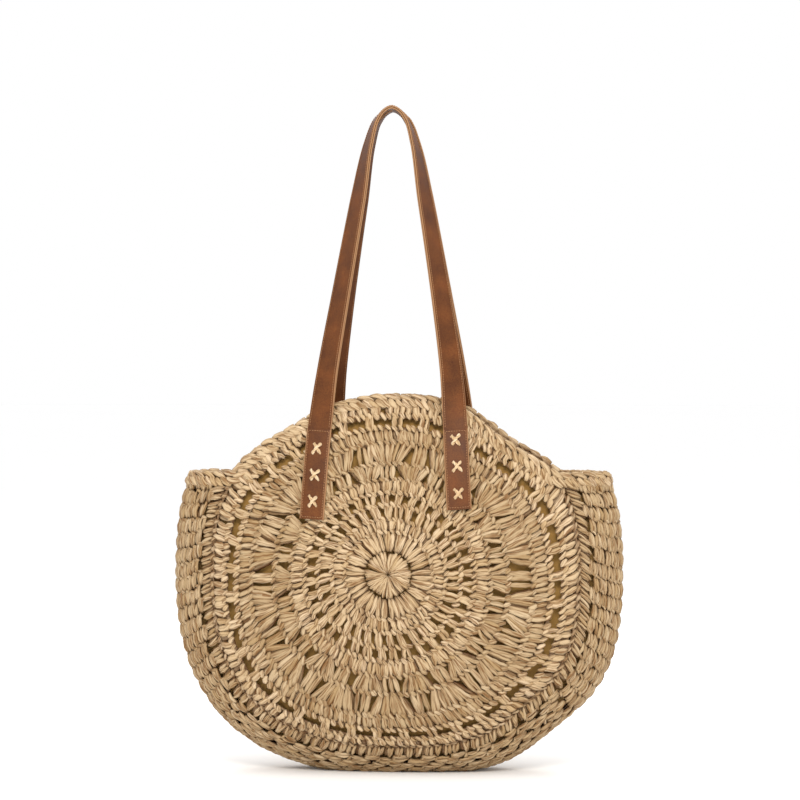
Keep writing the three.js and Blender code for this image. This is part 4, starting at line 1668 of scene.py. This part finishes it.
@dataclass
class Handle:
    """A handle of two leather layers, its two tabs, and the raffia crosses that hold them to the wall."""

    surface: BagSurface
    side: Side
    width: float = 24.0
    thickness: float = 3.15
    layer_gap: float = 0.3
    stitch_inset: float = 2.1
    tab_lengths: tuple[float, float] = (87.5, 77.5)  # left and right: the left one hangs lower
    tab_heights: tuple[float, float] = (0.4, 3.5)
    cross_firsts: tuple[float, float] = (19.0, 10.5)  # left and right
    cross_pitch: float = 25.6
    cross_size: tuple[float, float] = (4.4, 5.2)
    fold: tuple[float, float] = (-4.5, 5.0)  # where the bend starts and ends, from the hinge
    thread_rise: float = 0.12  # how far a stitch's middle stands above the leather
    strap_steps: int = 300

    def build(
        self, leather: bpy.types.Material, thread: bpy.types.Material, raffia: bpy.types.Material
    ) -> list[bpy.types.Object]:
        """Builds the handle's pieces, which stand for its strap, backing, tabs and threads.

        Args:
            leather: The finish of the strap, its backing and the tabs.
            thread: The finish of the machine stitches.
            raffia: The finish of the crosses.

        Returns:
            The pieces.
        """
        label = self.side.label
        wrap = HandleWrap(self.surface, self.side)
        half, gap = self.thickness / 2, self.layer_gap / 2
        pieces = []
        for name, low, high in (("strap", gap, half), ("backing", -half, -gap)):
            stations = np.linspace(-wrap.tail, wrap.length + wrap.tail, self.strap_steps)
            mesh = finish_mesh(tube(band_section(self.width, low, high), stations), wrap.place)
            piece = new_piece(f"{label}_handle_{name}_leather", mesh, leather)
            pieces.append(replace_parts(self._hinged(piece), f"{label}_handle_{name}"))
        rows = Stitching(seed=91 + self.side.value)
        inset = self.width / 2 - self.stitch_inset
        rise = half + self.thread_rise
        for across in (-inset, inset):
            for height in (rise, -rise):
                stations = np.linspace(2.0, wrap.length - 2.0, 40)
                for start, end in zip(stations, stations[1:]):
                    rows.run((start, across, height), (end, across, height))
        name = f"{label}_handle_stitching"
        pieces.append(self._hinged(new_piece(name, rows.strands.sweep(wrap, name), thread)))
        for hand in Hand:
            pieces += self._tab(hand, leather, thread, raffia)
        return pieces

    def _hinged(self, piece: bpy.types.Object) -> bpy.types.Object:
        """Bakes a piece's placement into its mesh.

        Args:
            piece: The piece.

        Returns:
            The same piece.
        """
        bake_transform(piece)
        return piece

    def _tab(
        self,
        hand: Hand,
        leather: bpy.types.Material,
        thread: bpy.types.Material,
        raffia: bpy.types.Material,
    ) -> list[bpy.types.Object]:
        """Builds a tab with its stitching and its three crosses.

        Args:
            hand: Which end of the handle.
            leather: The tab's finish.
            thread: The finish of the machine stitches.
            raffia: The finish of the crosses.

        Returns:
            The pieces.
        """
        wrap = TabWrap(self.surface, self.side, hand)
        name = f"{self.side.label}_{hand.label}"
        low, high = self.tab_heights
        length, first = (pair[hand is Hand.RIGHT] for pair in (self.tab_lengths, self.cross_firsts))
        rounding = np.array([0.1, 0.4, 1.0])
        stations = np.concatenate([rounding, np.linspace(2, length - 2, 30), length - rounding[::-1]])
        shape = tube(band_section(self.width + 0.4, low, high), stations)
        tab = new_piece(f"{name}_tab_leather", finish_mesh(shape, wrap.place), leather)
        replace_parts(tab, f"{name}_tab")
        rows = Stitching(seed=95 + self.side.value + 3 * hand.value)
        inset = self.width / 2 - self.stitch_inset
        top, bottom, height = self.stitch_inset, length - self.stitch_inset, high + self.thread_rise
        corners = [(top, -inset), (bottom, -inset), (bottom, inset), (top, inset), (top, -inset)]
        for (a, b), (c, d) in zip(corners, corners[1:]):
            rows.run((a, b, height), (c, d, height))
        mesh = rows.strands.sweep(wrap, f"{name}_tab_stitching")
        stitching = new_piece(f"{name}_tab_stitching", mesh, thread)
        seed = 101 + self.side.value + 3 * hand.value
        cord = Strands(seed, rings=17, sides=8, wobble=0.0, groove=0.16)
        for k in range(3):
            self._cross(cord, first + k * self.cross_pitch, high)
        mesh = cord.sweep(wrap, f"{name}_cross_raffia")
        crosses = new_piece(f"{name}_cross_raffia", mesh, raffia)
        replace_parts(crosses, f"{name}_cross_thread")
        for piece in (tab, stitching, crosses):
            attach(piece, BAG)
        return [tab, stitching, crosses]

    def _cross(self, cord: Strands, down: float, face: float) -> None:
        """Adds one cross of two-ply cord, its arms diving into the leather at their ends.

        Args:
            cord: The flat pattern.
            down: The cross's place down the tab.
            face: Height of the tab's face.
        """
        wide, tall = self.cross_size
        t = np.linspace(0, 1, cord.rings)
        for over, slope in ((0.0, 1), (1.5, -1)):
            jitter = cord.rng.normal(0, 0.35, 4)
            start = np.array([down - tall + jitter[0], -slope * wide + jitter[1]])
            end = np.array([down + tall + jitter[2], slope * wide + jitter[3]])
            flat = start + (end - start) * t[:, None]
            arch = np.sin(math.pi * t)
            height = face + 0.75 - 3.2 * (1 - np.minimum(1, arch / 0.42)) ** 2 + over * arch**3
            ahead = (end - start) / np.linalg.norm(end - start)
            for ply in range(2):
                turn = 2 * math.pi * 1.4 * t + math.pi * ply + over
                aside = 0.66 * np.cos(turn)[:, None] * np.array([-ahead[1], ahead[0]])
                line = np.column_stack([flat + aside, height + 0.5 * np.sin(turn)])
                cord.follow(line, 2.2, 1.8, 0.9, 0.3)


# ---- Lining, pocket and fittings -------------------------


def cloth(
    u_steps: int, v_steps: int, place: Callable[[Array, Array], Array], thickness: float
) -> bpy.types.Mesh:
    """Makes a sheet of cloth from a grid.

    Args:
        u_steps: Steps along.
        v_steps: Steps across.
        place: Takes places along and across from 0 to 1, and gives points in metres.
        thickness: The cloth's thickness, in metres, laid on the side away from its normal.

    Returns:
        The mesh, a closed thin slab, with the attribute weave in metres along and across.
    """
    shape = bmesh.new()
    bmesh.ops.create_grid(shape, x_segments=u_steps, y_segments=v_steps, size=0.5)
    bmesh.ops.solidify(shape, geom=[*shape.verts, *shape.edges, *shape.faces], thickness=0.1)
    bmesh.ops.recalc_face_normals(shape, faces=shape.faces)
    mesh = bpy.data.meshes.new("cloth")
    shape.to_mesh(mesh)
    shape.free()
    points = np.empty(len(mesh.vertices) * 3, np.float32)
    mesh.vertices.foreach_get("co", points)
    points = points.reshape(-1, 3).astype(float)
    layer = (points[:, 2] - points[:, 2].min() > 0.05).astype(float)
    u, v = np.clip(points[:, 0] + 0.5, 0, 1), np.clip(points[:, 1] + 0.5, 0, 1)
    step = 1e-3  # to measure the sheet's directions with
    here = place(u, v)
    along = place(np.minimum(u + step, 1), v) - place(np.maximum(u - step, 0), v)
    across = place(u, np.minimum(v + step, 1)) - place(u, np.maximum(v - step, 0))
    normal = unit(np.cross(along, across))
    moved = here - normal * (1 - layer)[:, None] * thickness
    mesh.vertices.foreach_set("co", moved.astype(np.float32).ravel())
    mesh.update()
    mesh.shade_smooth()
    size = np.abs(here.max(axis=0) - here.min(axis=0)).max()
    write_vectors(mesh, "weave", np.stack([u * size, v * size, 0 * u], axis=1))
    return mesh


@dataclass
class Lining:
    """The cotton lining: two discs, the strip between them, and the hem round the mouth."""

    surface: BagSurface
    strip: StripWrap
    mouth: MouthWrap
    depth: float = 11.6
    thickness: float = 0.8
    disc_edge: float = 186.0
    slack: float = 0.9  # how far the cloth puckers
    hem_down: tuple[float, float] = (1.0, 12.0)
    hem_depth: tuple[float, float] = (7.4, 11.6)
    hem_round: float = 0.3  # how far the middle of the hem swells
    hem_steps: int = 400
    disc_steps: int = 72
    strip_steps: tuple[int, int] = (170, 26)
    disc_cut: tuple[float, float] = (0.375, 0.345)  # in metres, as the next two are
    disc_area: float = 0.1015
    strip_cut: tuple[float, float] = (0.118, 0.75)
    slot: str = "cotton_lining"

    def build(self, cotton: bpy.types.Material, thread: bpy.types.Material) -> list[bpy.types.Object]:
        """Builds the lining's pieces.

        Args:
            cotton: The finish of the cloth.
            thread: The finish of the hem's stitches.

        Returns:
            The pieces.
        """
        pieces = []
        hem = "lining_hem_cotton"
        for side in Side:
            wrap = DiscWrap(self.surface, side)
            steps = self.disc_steps
            mesh = cloth(steps, steps, lambda u, v, w=wrap: self._disc(w, u, v), self.thickness * MM)
            piece = new_piece(f"{side.label}_lining_cotton", mesh, cotton)
            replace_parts(piece, f"lining_{side.label}")
            pieces.append(piece)
        mesh = cloth(*self.strip_steps, self._strip, self.thickness * MM)
        piece = new_piece("gusset_lining_cotton", mesh, cotton)
        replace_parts(piece, "lining_gusset")
        pieces.append(piece)
        pieces.append(self._hem(hem, cotton))
        rows = Stitching(seed=111, pitch=3.0, length=2.2, thickness=0.6)
        stations = np.linspace(0, self.mouth.length, 200)
        height = -self.hem_depth[1] - self.hem_round
        for down in (self.hem_down[0] + 1.2, self.hem_down[1] - 1.2):
            for start, end in zip(stations, stations[1:]):
                rows.run((start, down, height), (end, down, height))
        mesh = rows.strands.sweep(self.mouth, "hem_stitching")
        pieces.append(new_piece("hem_stitching", mesh, thread))
        for piece in pieces:
            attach(piece, BAG)
        return pieces

    def _puckers(self, along: Array, across: Array) -> Array:
        """Soft folds in the cloth, by place in millimetres."""
        wide = np.sin(along / 17 + 2 * np.sin(across / 41))
        return self.slack * 0.6 * (wide + 0.6 * np.sin(along / 9.5 + across / 23 + 1.3))

    def _disc(self, wrap: DiscWrap, u: Array, v: Array) -> Array:
        """Lays a square sheet as a disc, its corners drawn in to the edge.

        Args:
            wrap: Which disc.
            u: Places along the sheet, from 0 to 1.
            v: Places across it.

        Returns:
            The points, in metres.
        """
        x, y = 2 * u - 1, 2 * v - 1
        right, up = x * np.sqrt(1 - y * y / 2), y * np.sqrt(1 - x * x / 2)
        share = np.hypot(right, up)
        height = -self.depth + self._puckers(right * 180, up * 180) * (1 - share**4)
        return wrap.place(np.stack([right * self.disc_edge, up * self.disc_edge, height], axis=1))

    def _strip(self, u: Array, v: Array) -> Array:
        """Lays the strip between the discs.

        Args:
            u: Places along the sheet, from 0 to 1.
            v: Places across it.

        Returns:
            The points, in metres.
        """
        along, across = u * self.strip.length, v * self.strip.width
        fade = np.clip(4 * np.minimum(v, 1 - v), 0, 1) * np.clip(20 * np.minimum(u, 1 - u), 0, 1)
        height = -self.depth + self._puckers(along, across) * fade
        return self.strip.place(np.stack([along, across, height], axis=1))

    def _hem(self, name: str, cotton: bpy.types.Material) -> bpy.types.Object:
        """Builds the folded hem, a closed ring inside the mouth.

        Args:
            name: The piece's name.
            cotton: Its finish.

        Returns:
            The piece.
        """
        (top, foot), (near, far) = self.hem_down, self.hem_depth
        middle, swell = (top + foot) / 2, self.hem_round
        outer = [(top, -near - 1.0), (top + 0.8, -near), (middle, swell - near)]
        outer += [(foot - 0.8, -near), (foot, -near - 1.0)]
        inner = [(foot, 1.0 - far), (foot - 0.8, -far), (middle, -far - swell)]
        inner += [(top + 0.8, -far), (top, 1.0 - far)]
        section = np.array(outer + inner)
        shape = bmesh.new()
        rows, columns = self.hem_steps, len(section)
        bmesh.ops.create_grid(shape, x_segments=rows, y_segments=columns, size=0.5)
        weave = shape.verts.layers.float_vector.new("weave")
        for vert in shape.verts:
            corner = round((vert.co.y + 0.5) * columns) % columns
            along = (vert.co.x + 0.5) * self.mouth.length
            vert[weave] = Vector((along, corner * 2.0, 0)) * MM
            flat = np.array([[along, *section[corner]]])
            vert.co = self.mouth.place(flat)[0] / MM
        bmesh.ops.remove_doubles(shape, verts=shape.verts, dist=1e-3)
        mesh = finish_mesh(shape, lambda points: points * MM)
        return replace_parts(new_piece(name, mesh, cotton), "lining_hem")


@dataclass
class Pocket:
    """The zipped pocket on the back lining: a cloth panel, two tapes, and the zip's coil."""

    surface: BagSurface
    lining_depth: float = 12.9
    cloth_thickness: float = 0.7
    tape_thickness: float = 0.5
    tape_cut: tuple[float, float] = (0.012, 0.170)  # in metres
    seams: tuple[float, float] = (0.006, 0.004)  # in metres: what the panel's bent sides and foot add
    coil_pitch: float = 1.9
    coil_wire: float = 0.8
    coil_inset: float = 0.35  # of the wire's middle from its box

    def build(
        self, cotton: bpy.types.Material, tape: bpy.types.Material, coil: bpy.types.Material
    ) -> list[bpy.types.Object]:
        """Builds the pocket's pieces, in the boxes that the frame gives them.

        Args:
            cotton: The panel's finish.
            tape: The zip tapes' finish.
            coil: The finish of the zip's coil.

        Returns:
            The pieces.
        """
        pieces = []
        low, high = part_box("pocket_panel")
        mesh = cloth(60, 40, lambda u, v: self._panel(u, v, low, high), self.cloth_thickness * MM)
        panel = new_piece("pocket_cotton", mesh, cotton)
        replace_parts(panel, "pocket_panel")
        pieces.append(panel)
        for part in ("lower", "upper"):
            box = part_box(f"zip_tape_{part}")
            mesh = cloth(80, 6, lambda u, v, b=box: self._flat(u, v, b), self.tape_thickness * MM)
            piece = new_piece(f"zip_{part}_tape_woven", mesh, tape)
            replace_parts(piece, f"zip_tape_{part}")
            pieces.append(piece)
            pieces.append(self._coil(part, coil))
        for piece in pieces:
            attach(piece, BAG)
        return pieces

    def _flat(self, u: Array, v: Array, box: tuple) -> Array:
        """Fills a box with a flat sheet that faces the front.

        Args:
            u: Places along the sheet, from 0 to 1.
            v: Places up it.
            box: The box's lowest and highest corners.

        Returns:
            The points, in metres.
        """
        low, high = box
        x, z = low[0] + u * (high[0] - low[0]), low[2] + v * (high[2] - low[2])
        return np.stack([x, np.full_like(u, low[1]), z], axis=1)

    def _panel(self, u: Array, v: Array, low: Array, high: Array) -> Array:
        """Lays the panel, whose sides and foot bend back to the lining.

        Args:
            u: Places along the sheet, from 0 to 1.
            v: Places up it.
            low: The lowest corner of its box.
            high: The highest corner.

        Returns:
            The points, in metres.
        """
        points = self._flat(u, v, (low, high))
        reach = np.minimum(np.minimum(u, 1 - u) * 10, v * 7)
        free = np.clip(reach, 0, 1) ** 0.6
        depth = np.full(len(points), -self.lining_depth - 1.2)
        back = self.surface.face(Side.BACK, points[:, 0] / MM, points[:, 2] / MM, depth)
        sag = 1.2 * np.sin(points[:, 0] / MM / 19 + 1) * (1 - v)
        plane = points[:, 1] - 1.2 * MM * np.sin(np.pi * u) * (1 - v) + sag * 0.5 * MM
        limit = back[:, 1] * MM
        points[:, 1] = np.minimum(plane * free + limit * (1 - free), limit)
        return points

    def _coil(self, part: str, coil: bpy.types.Material) -> bpy.types.Object:
        """Builds one half of the zip's coil as a row of small loops.

        Args:
            part: Which half: "lower" or "upper".
            coil: Its finish.

        Returns:
            The piece.
        """
        low, high = (np.array(corner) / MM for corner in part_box(f"zip_teeth_{part}"))
        strands = Strands(seed=121, rings=7, sides=6, wobble=0.0, groove=0.0, spread=0.0)
        count = round((high[0] - low[0]) / self.coil_pitch)
        _, middle_y, middle_z = (low + high) / 2
        _, half_y, half_z = (high - low) / 2 - self.coil_inset
        turn = np.linspace(-math.pi, math.pi, strands.rings)
        for k in range(count):
            x = low[0] + (k + 0.5) * (high[0] - low[0]) / count + turn * self.coil_pitch / 7
            z, depth = middle_z + half_z * np.sin(turn), -middle_y + half_y * np.cos(turn)
            strands.follow(np.column_stack([x, z, depth]), self.coil_wire, self.coil_wire, 1.0, 0.0)
        mesh = strands.sweep(FrontWrap(), f"zip_{part}_coil")
        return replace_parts(new_piece(f"zip_{part}_coil", mesh, coil), f"zip_teeth_{part}")


@dataclass(frozen=True)
class FrontWrap:
    """Stands a flat pattern upright, facing the front: X, Z, and -Y as height."""

    def place(self, flat: Array) -> Array:
        """Gives the places of flat points."""
        return np.stack([flat[:, 0], -flat[:, 2], flat[:, 1]], axis=1) * MM


@dataclass
class Snap:
    """The magnetic snap: a spun brass plate with a stud on the front, and one with a socket behind."""

    surface: BagSurface
    height: float = 338.0
    depth: float = 13.95
    segments: int = 48
    # Each profile is radius and rise, from the axis outwards and down to a plate's common rim.
    plate: tuple = ((0, 1.9), (3.6, 1.9), (6.4, 2.2), (7.6, 2.6), (8.5, 2.4))
    stud: tuple = ((0, 4.1), (2.3, 4.1), (3.0, 3.8), (3.2, 3.2), (3.2, 2.3), (6.4, 2.3), (8.3, 2.2))
    rim: tuple = ((9.0, 1.6), (9.0, 0.3), (8.6, 0.0), (0, 0.0))

    def build(self, brass: bpy.types.Material) -> list[bpy.types.Object]:
        """Spins both halves in place.

        Args:
            brass: Their finish.

        Returns:
            The pieces.
        """
        return [
            self._half(Side.FRONT, self.stud, "snap_stud", brass),
            self._half(Side.BACK, self.plate, "snap_socket", brass),
        ]

    def _half(
        self, side: Side, profile: tuple, node: str, brass: bpy.types.Material
    ) -> bpy.types.Object:
        """Spins one half about its axis, and stands it on the lining.

        Args:
            side: Which disc's lining it stands on.
            profile: Its face, as radius and rise.
            node: The frame's node that it stands for.
            brass: Its finish.

        Returns:
            The piece.
        """
        shape = bmesh.new()
        verts = [shape.verts.new((radius, 0, rise)) for radius, rise in (*profile, *self.rim)]
        edges = [shape.edges.new(pair) for pair in zip(verts, verts[1:])]
        bmesh.ops.spin(
            shape,
            geom=[*verts, *edges],
            axis=(0, 0, 1),
            cent=(0, 0, 0),
            steps=self.segments,
            angle=2 * math.pi,
            use_merge=True,
        )
        bmesh.ops.remove_doubles(shape, verts=shape.verts, dist=1e-4)
        at = np.array([0.0]), np.array([self.height])
        seat = self.surface.face(side, *at, np.array([-self.depth]))[0]
        inward = unit(seat - self.surface.face(side, *at, np.array([0.0]))[0])
        across = np.array([1.0, 0, 0])
        up = unit(np.cross(inward, across))
        across = np.cross(up, inward)
        frame = np.stack([across, up, inward])
        mesh = finish_mesh(shape, lambda points: (points @ frame + seat) * MM)
        piece = new_piece(f"{node}_brass", mesh, brass)
        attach(piece, BAG)
        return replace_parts(piece, node)


# ---- Studio ----------------------------------------------


@dataclass(frozen=True)
class Studio:
    """A pale floor, soft lights and the camera. Sizes are in metres, and powers in watts."""

    azimuth: float = math.radians(5.0)
    elevation: float = math.radians(0.6)
    distance: float = 3.2
    field_width: float = 0.800
    look_at: tuple[float, float, float] = (0.0, 0.0, 0.369)
    sensor: float = 36.0
    floor_size: float = 30.0
    floor_roughness: float = 0.9
    light_aim: tuple[float, float, float] = (0, 0, 0.3)
    lights: tuple = (  # name, place, side, power and colour
        ("key", (0.2, -1.8, 1.4), 0.7, 23, "#FFFBF4"),
        ("top", (0.1, -0.3, 2.4), 0.8, 5, WHITE),
        ("back", (-0.3, 1.9, 1.6), 0.9, 15, WHITE),
    )

    def camera(self) -> None:
        """Places a long lens at standing-object height, a little to the right of the front."""
        data = bpy.data.cameras.new("camera")
        data.sensor_width = self.sensor
        data.lens = self.sensor * self.distance / self.field_width
        data.clip_end = 50
        camera = bpy.data.objects.new("camera", data)
        level = math.cos(self.elevation)
        x, y = math.sin(self.azimuth) * level, -math.cos(self.azimuth) * level
        direction = Vector((x, y, math.sin(self.elevation)))
        camera.location = Vector(self.look_at) + direction * self.distance
        camera.rotation_euler = (-direction).to_track_quat("-Z", "Y").to_euler()
        bpy.context.scene.collection.objects.link(camera)
        bpy.context.scene.camera = camera

    def light(self, name: str, place: tuple, size: float, power: float, colour: str) -> None:
        """Adds a square soft light that faces the bag.

        Args:
            name: The light's name.
            place: Where it stands.
            size: Its side.
            power: Its power.
            colour: Its sRGB hex value.
        """
        data = bpy.data.lights.new(name, "AREA")
        data.size = size
        data.energy = power
        data.color = srgb(colour)[:3]
        lamp = bpy.data.objects.new(name, data)
        lamp.location = place
        aim = Vector(self.light_aim) - Vector(place)
        lamp.rotation_euler = aim.to_track_quat("-Z", "Y").to_euler()
        bpy.context.scene.collection.objects.link(lamp)

    def build(self) -> None:
        """Sets up the floor, the lights, the world and the camera."""
        shape = bmesh.new()
        bmesh.ops.create_grid(shape, x_segments=1, y_segments=1, size=self.floor_size)
        mesh = bpy.data.meshes.new("floor")
        shape.to_mesh(mesh)
        shape.free()
        material, _, shader = new_material("matt_white_paper_floor")
        shader.inputs["Base Color"].default_value = srgb(WHITE)
        shader.inputs["Roughness"].default_value = self.floor_roughness
        mesh.materials.append(material)
        floor = bpy.data.objects.new("floor", mesh)
        bpy.context.scene.collection.objects.link(floor)
        world = bpy.data.worlds.new("studio")
        world.use_nodes = True
        background = world.node_tree.nodes["Background"]
        background.inputs["Color"].default_value = srgb(WHITE)
        background.inputs["Strength"].default_value = 1.0
        bpy.context.scene.world = world
        bpy.context.scene.view_settings.view_transform = "Standard"
        for light in self.lights:
            self.light(*light)


# ---- Assembly --------------------------------------------


def dress(node: str, finish: bpy.types.Material) -> None:
    """Gives a node of the frame a finish in place of its plain one."""
    for slot in bpy.data.objects[node].material_slots:
        slot.material = finish


def main() -> None:
    """Builds the bag's sub-assemblies in order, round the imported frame."""
    logging.basicConfig(level=logging.INFO, format="%(name)s: %(message)s")
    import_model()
    studio = Studio()
    studio.camera()
    studio.build()
    surface = BagSurface()
    strip, mouth = StripWrap(surface), MouthWrap(surface)
    straw = PaperRaffia().material()
    # a lighter copy of the straw for the centre, the border and the mouth: painted light, where more light
    # falls on them
    painted_light_name = "paper_raffia_bleached_by_the_sun"
    painted_light_straw = PaperRaffia(painted_light_name, pale="#D2B997", plain="#C5AB86", warm="#B79A71").material()
    leather = Leather().material()
    brown_thread = Thread("polyester_thread_brown", "#A97C54", "#85572F").material()
    cream_thread = Thread("cotton_thread_cream", "#DCCBA6", "#B9A47C").material()
    cotton = WovenCloth("plain_weave_cotton", "#CDA25E", "#A67C3C").material()
    nylon_tape = WovenCloth("woven_nylon_tape", "#C4AA7C", "#A88D60", pitch=0.8 * MM).material()
    brass = Brass().material()
    raffia = PaperRaffia(
        "twisted_raffia_thread",
        pale="#E6CFAC",
        plain="#D9BC95",
        warm="#CCAC82",
        # the last two colours are painted shade, in the cord's creases and in its hollows
        crease="#B08D62",
        deep="#8A6A42",
    ).material()

    pieces: list[bpy.types.Object] = []
    for side in Side:
        pieces += Disc(surface, side).build(straw, painted_light_straw)
    pieces += Gusset(strip).build(straw)
    pieces.append(Edging(mouth).build(painted_light_straw))
    for side in Side:
        pieces += Handle(surface, side).build(leather, brown_thread, raffia)
    pieces += Lining(surface, strip, mouth).build(cotton, cream_thread)
    pieces += Pocket(surface).build(cotton, nylon_tape, DrawnNylon().material())
    pieces += Snap(surface).build(brass)
    for node in ("snap_stud_washer", "snap_socket_washer", "zip_slider", "zip_pull"):
        dress(node, brass)
    for side in Side:
        for hand in Hand:
            dress(f"{side.label}_{hand.label}_patch", leather)
    for piece in pieces:
        log.info("%s: %d faces", piece.name, len(piece.data.polygons))


if __name__ == "__main__":
    main()
